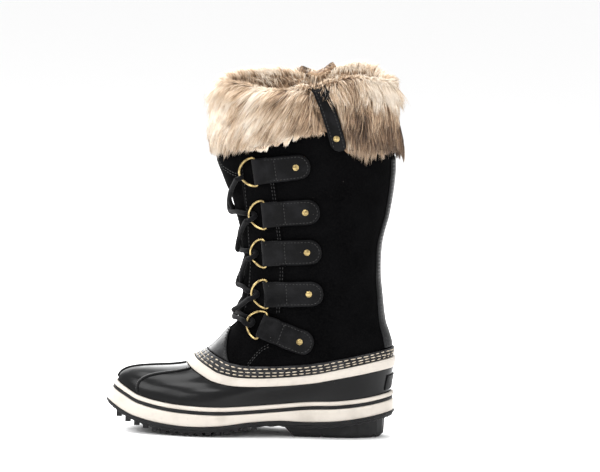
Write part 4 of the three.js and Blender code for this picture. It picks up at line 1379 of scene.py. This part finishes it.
def fur_level(t):
    return fur_hem + (fur_crest - fur_hem) * read(fur_section, "level", t)


def fur_point(u, t):
    """The cuff's surface, from its outer hem, at 0, over its crest, at 0.7, to its inner hem, at 1."""
    level = fur_level(t)
    share = read(fur_section, "out", t)
    strap_at = read(strap_run, "x", t) * shaft_depth
    bare = shaft_point(u, level)
    plain_x = bare[..., 0] + lean_at(bare[..., 2])
    away = (plain_x - strap_at) / strap_width
    dent = strap_dent * np.abs(np.sin(u)) * np.exp(-1.6 * away ** 2) * np.clip((0.9 - t) / 0.15, 0, 1)
    swell = 1 + 0.12 * np.sin(3 * u + 1) + 0.06 * np.sin(7 * u)
    rear_tuck = 0.62 * np.clip(np.cos(u), 0, 1) ** 2 * np.clip((t + 0.1) / 0.5, 0, 1)
    front_tuck = 0.4 * np.clip(-np.cos(u), 0, 1) ** 3
    outer_depth = share * fur_depth * swell * (1 - rear_tuck - front_tuck)
    depth = np.where(share > 0, outer_depth, share * fur_lining)
    hollow = np.sign(share) * np.minimum(np.maximum(np.abs(depth) - 1, 0), dent)
    out = np.where(np.abs(share) > 0.2, depth - hollow, depth)
    point = bare + normal_of(shaft_point, u, level) * out[..., None]
    lowered = np.where(np.sin(u) > 0, 0.8, 0.7)
    point[..., 2] -= lowered * dent * np.clip((0.9 - np.abs(share)) / 0.3, 0, 1) * (t > 0.4)
    medial = read(crest_shift, "medial", plain_x)
    lateral = read(crest_shift, "lateral", plain_x)
    inner_side = 0.5 + 0.5 * np.tanh(4 * np.sin(u))
    crest = np.exp(-((t - 0.68) / 0.2) ** 2)
    point[..., 2] += crest * (lateral + (medial - lateral) * inner_side)
    return point


def fur(u, t, out):
    u, t, out = spread_out(u, t, out)
    return fur_point(u, t) + normal_of(fur_point, u, t) * out[..., None]


def strap_angle(t, shift):
    """The angle round the cuff of a place on the strap, shifted across it in millimetres."""
    level = fur_level(t)
    front = read(shaft_rings, "front", level) * shaft_depth
    rear = read(shaft_rings, "rear", level) * shaft_depth
    x = read(strap_run, "x", t) * shaft_depth + shift
    return np.arccos(1 - 2 * (rear - x) / (rear - front))


strap_first = 0.145
strap_last = 0.7
strap_round = 0.1
strap_bevel = 1.4
strap_frames = []
for side_name, side in both_sides:

    def strap_place(a, b):
        t = strap_first + (strap_last - strap_first) * a
        rounded = np.sqrt(np.clip(1 - (1 - np.clip(a / strap_round, 0, 1)) ** 2, 0, 1))
        shift = (2 * b - 1) * strap_width / 2 * np.maximum(rounded, 0.02)
        edge = np.clip((1 - np.abs(2 * b - 1)) * strap_width / 2 / strap_bevel, 0, 1)
        crown = strap_thickness - 0.7 * (1 - edge ** 0.5)
        return fur(-side * strap_angle(t, shift), t, crown)

    strap = lay_skin(f"pull_strap_{side_name}", strap_place, 90, 16, (90, strap_width), (-20, 0, 310))
    thicken(strap, strap_thickness - 0.5)
    dress(strap, charcoal, [f"strap_{side_name}"])
    for edge_shift in (-1, 1):
        t = np.linspace(strap_first + 0.03, strap_last, 120)
        u = -side * strap_angle(t, edge_shift * (strap_width / 2 - stitch_inset))
        strap_frames += stitch_frames(fur(u, t, strap_thickness), normal_of(fur_point, u, t), strap_stitch)
strap_stitches = strew("strap_stitches", stitch_shape, strap_frames)
dress(strap_stitches, dark_thread)

# Rivets
# Domed brass rivets on a flat rim, spun from one outline: one near each tab's round end, and one at the
# foot of each strap.
rivet_radius = 3.2
rivet_height = 1.6
rivet_mesh = bmesh.new()
rivet_profile = [
    (0, 1.0), (0.3, 0.97), (0.55, 0.86), (0.72, 0.66), (0.78, 0.46), (0.82, 0.42), (0.95, 0.4), (1.0, 0.2),
    (1.0, -0.3),
]
rivet_points = [rivet_mesh.verts.new((x * rivet_radius, 0, z * rivet_height)) for x, z in rivet_profile]
rivet_edges = [rivet_mesh.edges.new(pair) for pair in zip(rivet_points, rivet_points[1:])]
bmesh.ops.spin(
    rivet_mesh, geom=rivet_points + rivet_edges, cent=(0, 0, 0), axis=(0, 0, 1), angle=full_turn, steps=16,
    use_merge=True,
)
bmesh.ops.remove_doubles(rivet_mesh, verts=rivet_mesh.verts, dist=0.001)
bmesh.ops.holes_fill(rivet_mesh, edges=rivet_mesh.edges, sides=20)
bmesh.ops.recalc_face_normals(rivet_mesh, faces=rivet_mesh.faces)
rivet_shape = shape_of(rivet_mesh)
for side_name, side in both_sides:
    frames = []
    zero = np.zeros(1)
    for tab in tabs:
        along = zero + tab[3] * shaft_depth - 0.55 * tab_height
        seat = tab_point(tab, side, along, zero, tab_lift + tab_thickness + 0.15)[0]
        above = tab_point(tab, side, along, zero, tab_lift + tab_thickness + 4)[0]
        frames.append(frame_at(seat, (1, 0, 0), unit(above - seat), (1, 1, 1)))
    t = zero + strap_rivet_at
    u = -side * strap_angle(t, 0)
    seat = fur(u, t, strap_thickness + 0.2)[0]
    frames.append(frame_at(seat, (1, 0, 0), normal_of(fur_point, u, t)[0], (1, 1, 1)))
    rivets = strew(f"rivets_{side_name}", rivet_shape, frames)
    dress(
        rivets, brass,
        [f"rivet_{side_name}_{k + 1}" for k in range(len(tabs))] + [f"strap_rivet_{side_name}"],
    )

# Lace
# One round black cord. It starts at a top ring, crosses to the next ring of the other side, passes under
# that ring's arc and back over it, and so on down, lies across between the lowest rings, and climbs
# back the same way. Its two ends stop at the top rings.
lace_radius = 2.45
crossings = [0.663, 0.545, 0.441, 0.358]
bar_height = 0.338
over_other = 3.2
under_other = -1.0


def lace_over(side, x, z, out):
    """A place over the shaft, between a ring and the middle of the throat."""
    u, level = shaft_place(np.array([x + lean_at(z)]), np.array([z]), side)
    edge = np.mod(u, full_turn)
    return shaft(toe + (edge - toe) * 0.62, level, lace_radius + out)[0]


def lace_middle(z, out):
    _, level = shaft_place(np.array([-float(shaft_depth)]), np.array([z]), 1)
    return shaft(np.array([toe]), level, lace_radius + out)[0]


def ring_places(k, side):
    """Where the lace leaves a ring, over its arc, and where it comes to it, under its arc."""
    axes = tab_frame(tabs[k], side)
    out = axes[3] * side
    over = wire_radius + lace_radius + 0.15
    leaves = [
        ring_point(axes, 0.72, -0.2) + out * (over - 1.4),
        ring_point(axes, 0.97, -0.36) + out * over,
        ring_point(axes, 1.2, -0.46) + out * (over - 1.2),
    ]
    comes = [
        ring_point(axes, 1.35, 0.1) - out * (over - 1.0),
        ring_point(axes, 1.0, 0.12) - out * over,
        ring_point(axes, 0.76, 0.06) - out * (over - 1.8),
        ring_point(axes, 0.62, -0.06),
    ]
    return leaves, comes


def strand(k, side):
    """The points of one strand, from ring k on a side to the next ring on the other."""
    leaves, _ = ring_places(k, side)
    _, comes = ring_places(k + 1, -side)
    z = crossings[k] * shaft_top
    lifted = side * (-1) ** k > 0
    middle = lace_middle(z, over_other if lifted else under_other)
    high = lace_over(side, leaves[-1][0], z + (leaves[-1][2] - z) * 0.45, 0.9)
    low = lace_over(-side, comes[0][0], z + (comes[0][2] - z) * 0.3, 0.0)
    return [*leaves, high, middle, low, *comes]


def lace_route(side):
    """One half of the lace, from its top ring to the lowest ring."""
    points = []
    for k in range(len(crossings)):
        points += strand(k, side)
        side = -side
    return points, side


first_half, first_side = lace_route(-1)
second_half, second_side = lace_route(1)
bar_z = bar_height * shaft_top
last = len(tabs) - 1


def bar_start(side):
    leaves, _ = ring_places(last, side)
    axes = tab_frame(tabs[last], side)
    out = axes[3] * side
    over = wire_radius + lace_radius + 0.15
    return [
        ring_point(axes, 0.7, -0.3) + out * (over - 1.6),
        ring_point(axes, 1.0, -0.24) + out * over,
        ring_point(axes, 1.24, -0.16) + out * (over - 1.2),
    ]


first_bar = bar_start(first_side)
second_bar = bar_start(second_side)
lace_points = [
    *first_half,
    *first_bar,
    lace_over(first_side, first_bar[-1][0], bar_z + (first_bar[-1][2] - bar_z) * 0.35, 2.2),
    lace_middle(bar_z, 0.0),
    lace_over(second_side, second_bar[-1][0], bar_z + (second_bar[-1][2] - bar_z) * 0.35, 2.2),
    *second_bar[::-1],
    *second_half[::-1],
]
lace_mesh = bmesh.new()
lace_line = smooth_line(lace_points, 9)
lay_tube(lace_mesh, lace_line, lace_radius, 12)
lace = close_mesh("lace_cord", lace_mesh)
cord, tree, surface = start_finish("braided_cord", {
    "Roughness": 0.85, "Specular IOR Level": 0.1, "Sheen Weight": 0.04, "Sheen Roughness": 0.5,
})
lace_map = add_node(tree, "ShaderNodeUVMap", uv_map="UVMap").outputs["UV"]
ways = []
for slant in (1, -1):
    turned = add_node(tree, "ShaderNodeMapping", {
        "Vector": lace_map, "Rotation": (0, 0, slant * 52 * degree), "Scale": (0.42, 0.42, 1),
    })
    ways.append(add_node(tree, "ShaderNodeTexWave", {
        "Vector": turned.outputs["Vector"], "Scale": 1.0, "Distortion": 0.6, "Detail": 1.0,
    }, wave_type="BANDS", bands_direction="X").outputs["Fac"])
plait = add_node(tree, "ShaderNodeMath", {0: ways[0], 1: ways[1]}, operation="MULTIPLY").outputs[0]
# The colour follows the plait's height: painted shade darkens the grooves between the strands.
paint(tree, surface, blend_colour(tree, plait, (0.002, 0.002, 0.0025), (0.012, 0.012, 0.0135)))
add_bumps(tree, surface, [(plait, 0.6, 0.9), (add_group(tree, grain, Scale=1500, Fine=0.6), 0.08, 0.5)])
dress(lace, cord, [f"lace_{k + 1}" for k in range(len(crossings))])

# Heel badge
# A bare raised patch of matt black rubber, moulded on the back of the rubber foot, with a thin groove
# round it like a frame.
badge_width = 39
badge_thickness = 1.3
badge_wall = 0.3


def badge_place(a, b):
    half = np.arcsin((badge_width / (2 * foot_sections["medial"][0] * sole_width)) ** (1 / plump))
    u = half * (1 - 2 * a)
    v = 0.14 + (0.74 - 0.14) * b
    edge = np.minimum(np.minimum(a, 1 - a) * badge_width, np.minimum(b, 1 - b) * 16)
    out = clearance + 0.1 + badge_thickness * np.clip(edge / 0.7, 0, 1) ** 0.5
    framed = np.where((edge > 1.6) & (edge < 2.4), 0.35, 0)
    return shell(u, v, out - framed)


badge = lay_skin("heel_patch", badge_place, 64, 32, (badge_width, 16), (0, 0, 40))
thicken(badge, badge_wall)
dress(badge, tread_rubber, ["heel_badge"])

# Insole
# A thick grey-brown felt sole that lies loose inside. The model's own solid shows; it gets the felt's
# material.
felt, tree, surface = start_finish("insole_felt", {"Roughness": 0.95, "Specular IOR Level": 0.1})
fluff = add_group(tree, blotches, Scale=300, Low=0.35, High=0.65)
paint(tree, surface, blend_colour(tree, fluff, (0.28, 0.25, 0.22), (0.16, 0.14, 0.12)))
add_bumps(tree, surface, [(add_group(tree, grain, Scale=900, Fine=0.8), 0.4, 0.7)])
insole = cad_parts["insole"]
insole.data.materials.clear()
insole.data.materials.append(felt)

# Fur cuff
# Deep pile on a folded ring. The ring is a dense underfur, and thousands of long tapered hairs are set in
# it, drawn together in locks that sweep down and towards the toe. Inside, the pile is short.
hem_line = make_table("at z", [
    (-140, 279), (-109, 283), (-83, 290), (-65, 297), (-50, 301), (-27, 309), (-8, 303), (2, 292),
    (17, 284), (35, 287), (50, 299), (62, 289),
])
outer_hem = 285


def hem_height(u):
    """How far down the hair hangs: on the inner side it is swept up towards the strap."""
    bare = shaft_point(u, np.full_like(u, fur_hem))
    swept = np.interp(bare[..., 0] + lean_at(bare[..., 2]), hem_line["at"], hem_line["z"])
    inner_side = np.clip(3 * np.sin(u), 0, 1)
    return outer_hem + (swept - outer_hem) * inner_side


def hem_rise(u):
    """The place on the cuff's section where the underfur ends, a little over the hair's tips."""
    return np.interp(hem_height(u) + 4, (289, 300, 312), (0, 0.2, 0.3))


skin_share = 0.8
fur_sunk = 4.5


def cuff_place(a, b):
    """The cuff's skin from hem to hem, and back along the suede between the two."""
    u = a * full_turn
    outer = b <= skin_share
    first = hem_rise(u)
    t = np.where(outer, first + (1 - first) * b / skin_share, 1)
    swept = 0.8 * np.sin(u * 37 + 9 * np.sin(t * 7)) * np.sin(t * 11 + 3 * u)
    skin = fur(u, t, np.where(outer, -fur_sunk + swept, 0))
    back = np.clip((b - skin_share) / (1 - skin_share), 0, 1)
    level = fur_hem + (fur_crest - fur_hem) * 0.36
    inner_level = np.where(back < 0.5, level + (13.02 - level) * back / 0.5, 13.02)
    inner = shaft(u, inner_level, np.where(back < 0.75, -shaft_wall - 1.2, 1.2))
    hem_level = fur_level(first)
    under = shaft(u, hem_level, 1.2)
    hidden = np.where((back > 0.9)[..., None], under, inner)
    return np.where(outer[..., None], skin, hidden)


cuff_mesh = bmesh.new()
lay_grid(cuff_mesh, cuff_place, 220, 70, (560, 140))
cuff = close_mesh("cuff_underfur", cuff_mesh)

hair_colours = [
    (0.0, (0.05, 0.028, 0.016)),
    (0.2, (0.17, 0.1, 0.058)),
    (0.4, (0.38, 0.255, 0.16)),
    (0.6, (0.62, 0.455, 0.31)),
    (0.8, (0.8, 0.65, 0.49)),
    (1.0, (0.9, 0.8, 0.68)),
]


def colour_steps(tree, value, steps):
    ramp = add_node(tree, "ShaderNodeValToRGB", {"Fac": value})
    elements = ramp.color_ramp.elements
    while len(elements) < len(steps):
        elements.new(0.5)
    for element, (position, colour) in zip(elements, steps):
        element.position = position
        element.color = (*colour, 1)
    return ramp.outputs["Color"]


underfur, tree, surface = start_finish("underfur", {
    "Roughness": 0.95, "Specular IOR Level": 0.1, "Sheen Weight": 0.2, "Sheen Roughness": 0.6,
})
tuft = add_group(tree, blotches, Scale=45, Low=0.3, High=0.7)
tuft_fine = add_group(tree, blotches, Scale=420, Low=0.3, High=0.7)
tuft_sum = add_node(tree, "ShaderNodeMath", {0: tuft, 1: tuft_fine}, operation="ADD").outputs[0]
paint(tree, surface, colour_steps(tree, scale_value(tree, tuft_sum, 0.05, 0.4), hair_colours))
add_bumps(tree, surface, [(add_group(tree, grain, Scale=500, Fine=0.9), 1.2, 0.8)])
dress(cuff, underfur, ["fur_cuff"])

hair, tree, surface = start_finish("long_hair", {
    "Roughness": 0.6, "Specular IOR Level": 0.25, "Sheen Weight": 0.1, "Sheen Roughness": 0.5,
})
hair_map = add_node(tree, "ShaderNodeUVMap", uv_map="UVMap").outputs["UV"]
hair_parts = add_node(tree, "ShaderNodeSeparateXYZ", {"Vector": hair_map})
hair_tone = hair_parts.outputs["X"]
hair_along = hair_parts.outputs["Y"]
hair_shade = scale_value(tree, hair_along, -0.22, 0.1)
hair_value = add_node(tree, "ShaderNodeMath", {0: hair_tone, 1: hair_shade}, operation="ADD").outputs[0]
paint(tree, surface, colour_steps(tree, hair_value, hair_colours))

cuff_spread = np.array([560, 150])
hair_stops = np.array([0, 0.36, 0.72])
hair_taper = np.array([1.0, 0.85, 0.55])
hanging_part = 0.6


def soft_noise(points, size, seed):
    """A smooth random value between 0 and 1 at each place, made of a few crossed waves."""
    picks = np.random.default_rng(seed)
    waves = 7
    total = np.zeros(len(points))
    for _ in range(waves):
        way = unit(picks.normal(size=3)) * full_turn / (size * picks.uniform(0.7, 1.6))
        total += np.sin(points @ way + picks.uniform(0, full_turn))
    return np.clip(0.5 + total / waves * 1.15, 0, 1)


def hair_way(u, t, lift, length, curl):
    """A hair's root, the way it flows, the way off the skin, how far off it stands, and its length."""
    root = fur(u, t, -fur_sunk)
    normal = normal_of(fur_point, u, t)
    down = unit(fur(u, t - 0.02, 0) - fur(u, t + 0.02, 0))
    around = unit(np.cross(normal, down))
    strap_x = read(strap_run, "x", t) * shaft_depth - lean_at(root[..., 2])
    ahead = np.clip((strap_x - root[..., 0]) / 30, -0.35, 1.0)
    toeward = np.stack([-np.ones_like(u), np.zeros_like(u), np.zeros_like(u)], axis=-1)
    toeward = unit(toeward - normal * np.sum(toeward * normal, axis=-1, keepdims=True))
    swept = np.where(ahead > 0, 0.15 + 0.6 * ahead, 0.3 * ahead)
    side_sweep = np.abs(np.sin(u)) * swept * np.where(np.sin(u) > 0, 1, 0.9)
    beside_strap = np.exp(-((root[..., 0] - strap_x) / 14) ** 2)
    pressed_down = beside_strap * np.sin(u) ** 2 * (t < 0.62)
    flow = unit(down + toeward * side_sweep[..., None] + around * curl[..., None])
    return root, flow, normal, lift * (1 - 0.75 * pressed_down), length * (1 - 0.25 * pressed_down)


def hair_points(way, share):
    """Where the hairs are at a share of their length: they leave the skin, follow it and droop."""
    root, flow, normal, rise, reach = way
    reach = reach[..., None]
    off = normal * rise[..., None] * reach * (share * (1.5 - share) * 1.4)
    droop = np.array([0, 0, -1.0]) * reach * 0.25 * share * share
    return root + flow * reach * share * (0.75 + 0.25 * share) + off + droop


def end_at_hem(length, u, t, shake):
    """Shortens the hairs of the cuff's outside, so that their tips end near the hem."""
    shortest = 4
    room = fur(u, t, 0)[..., 2] - hem_height(u) + shake
    return np.where(t < hanging_part, np.minimum(length, np.maximum(room * 1.08, shortest)), length)


def clear_of_strap(rings, u, t, stray):
    """Which hairs stay: not those rooted under a strap or lying across it, but for a few stray ones."""
    strap_x = read(strap_run, "x", t) * shaft_depth - lean_at(rings[:, 0, 2])
    rooted = (np.abs(rings[:, 0, 0] - strap_x) < strap_width / 2 + 1.5) & (np.abs(np.sin(u)) > 0.6)
    rooted &= (t > strap_first - 0.02) & (t < 0.64)
    line_t = np.linspace(strap_first, strap_last, 60)
    line = fur_point(strap_angle(line_t, 0), line_t)
    order = np.argsort(line[:, 2])
    strap_line = np.interp(rings[..., 2], line[order, 2], line[order, 0])
    across = np.abs(rings[..., 0] - strap_line) < strap_width / 2 + 0.6
    across &= (np.abs(rings[..., 1]) > 30) & (rings[..., 2] > line[:, 2].min() - 1)
    return ~rooted & (~across[:, 1:].any(axis=1) | stray | (t > hanging_part))


def hair_faces():
    """The corners of one hair's faces and each face's first corner: its root, its sides and its tip."""
    corners = [0, 2, 1]
    sides = [3]
    for ring in (0, 3):
        for i in range(3):
            following = (i + 1) % 3
            corners += [ring + i, ring + following, ring + 3 + following, ring + 3 + i]
            sides.append(4)
    for i in range(3):
        corners += [6 + i, 6 + (i + 1) % 3, 9]
        sides.append(3)
    return np.array(corners), np.cumsum([0, *sides])[:-1]


def grow_hair(name, count, seed, span, lengths, thickest, lock_size, lift, gather):
    """A mesh of tapered hairs rooted between two places of the cuff's section, drawn into locks."""
    picks = np.random.default_rng(seed)
    u = picks.uniform(0, full_turn, count)
    t = picks.uniform(span[0], span[1], count)
    t = np.maximum(t, hem_rise(u) * (t < 0.4))
    width = span[1] - span[0]
    cells = np.maximum((cuff_spread * [1, width] / lock_size).astype(int), 1)
    lock_u = np.floor(u / full_turn * cells[0])
    lock_t = np.floor((t - span[0]) / (width + 1e-6) * cells[1])
    lock = (lock_u * cells[1] + lock_t).astype(int)
    lock_count = int(cells[0] * cells[1])
    shake = picks.uniform(-0.3, 0.3, (lock_count, 2))
    order = np.arange(lock_count)
    root_u = (order // cells[1] + 0.5 + shake[:, 0]) / cells[0] * full_turn
    root_t = span[0] + (order % cells[1] + 0.5 + shake[:, 1]) / cells[1] * width

    length = picks.uniform(*lengths, count) * (0.75 + 0.5 * soft_noise(fur(u, t, 0), 40, seed + 3))
    curl = picks.normal(0, 0.16, count)
    lock_length = picks.uniform(*lengths, lock_count) * 1.05
    length = end_at_hem(length, u, t, picks.normal(0, 2.2, count))
    lock_length = end_at_hem(lock_length, root_u, root_t, picks.normal(0, 2.5, lock_count))
    lock_curl = picks.normal(0, 0.3, lock_count)
    held = gather * picks.uniform(0.55, 1.0, count)
    held = np.where(picks.uniform(size=count) < 0.12, 0.1, held)
    own_way = hair_way(u, t, lift, length, curl)
    lock_way = hair_way(root_u, root_t, lift, lock_length, lock_curl)
    rings = []
    for stop in [*hair_stops, 1.0]:
        own = hair_points(own_way, stop)
        led = hair_points(lock_way, stop)[lock]
        rings.append(own + (led - own) * (held * stop ** 1.3)[:, None])
    rings = np.stack(rings, axis=1)
    rings = rings[clear_of_strap(rings, u, t, picks.uniform(size=count) < 0.035)]
    count = len(rings)

    root = rings[:, 0]
    tone = soft_noise(root, 34, 5) * 0.62 + soft_noise(root, 9, 8) * 0.22
    # Painted shade: the hairs towards the heel and low on the cuff are darkened.
    painted_shade_heelward = np.clip((root[:, 0] + 22) / 40, 0, 1) * np.clip((356 - root[:, 2]) / 25, 0, 1)
    # Painted light: the hairs rooted high on the crest, where the light falls, are lightened.
    painted_light_on_crest = np.clip((root[:, 2] - 342) / 12, 0, 1)
    tone = np.clip(tone + 0.28 - 0.54 * painted_shade_heelward + 0.16 * painted_light_on_crest + picks.normal(0, 0.14, count), 0.02, 1)
    along = unit(rings[:, -1] - root)
    side_way = unit(np.cross(along, picks.normal(size=(count, 3))))
    other_way = np.cross(along, side_way)
    radius = thickest * picks.uniform(0.7, 1.25, count)
    angles = np.array([0, full_turn / 3, 2 * full_turn / 3])[None, :, None]
    spokes = side_way[:, None, :] * np.cos(angles) + other_way[:, None, :] * np.sin(angles)
    reach = (radius[:, None] * hair_taper[None, :])[:, :, None, None]
    points = (rings[:, :3, None, :] + spokes[:, None] * reach).reshape(count, 9, 3)
    corners, starts = hair_faces()
    piece = lay_copies(name, np.concatenate([points, rings[:, 3:4]], axis=1), corners, starts)
    heights = np.concatenate([np.repeat(hair_stops, 3), [1.0]])[corners]
    values = np.stack(np.broadcast_arrays(tone[:, None], heights[None, :]), axis=-1)
    piece.data.uv_layers.new(name="UVMap").data.foreach_set("uv", values.ravel())
    dress(piece, hair)


# Each line gives the number of hairs, the seed, the stretch of the cuff's section, the shortest and longest
# hair, the radius, a lock's size, how far the hairs stand off the skin, and how far a lock draws them in.
fewer = 1.0
grow_hair("hair_low", int(9000 * fewer), 11, (0.02, 0.32), (14, 26), 0.44, 10, 0.22, 0.78)
grow_hair("hair_middle", int(9000 * fewer), 12, (0.26, 0.5), (18, 30), 0.44, 10, 0.22, 0.78)
grow_hair("hair_high", int(9000 * fewer), 13, (0.46, 0.68), (16, 26), 0.44, 11, 0.22, 0.72)
grow_hair("hair_crest", int(5500 * fewer), 14, (0.64, 0.8), (8, 13), 0.44, 9, 0.38, 0.5)
grow_hair("hair_inside", int(5500 * fewer), 15, (0.76, 1.0), (6, 10), 0.45, 8, 0.4, 0.5)
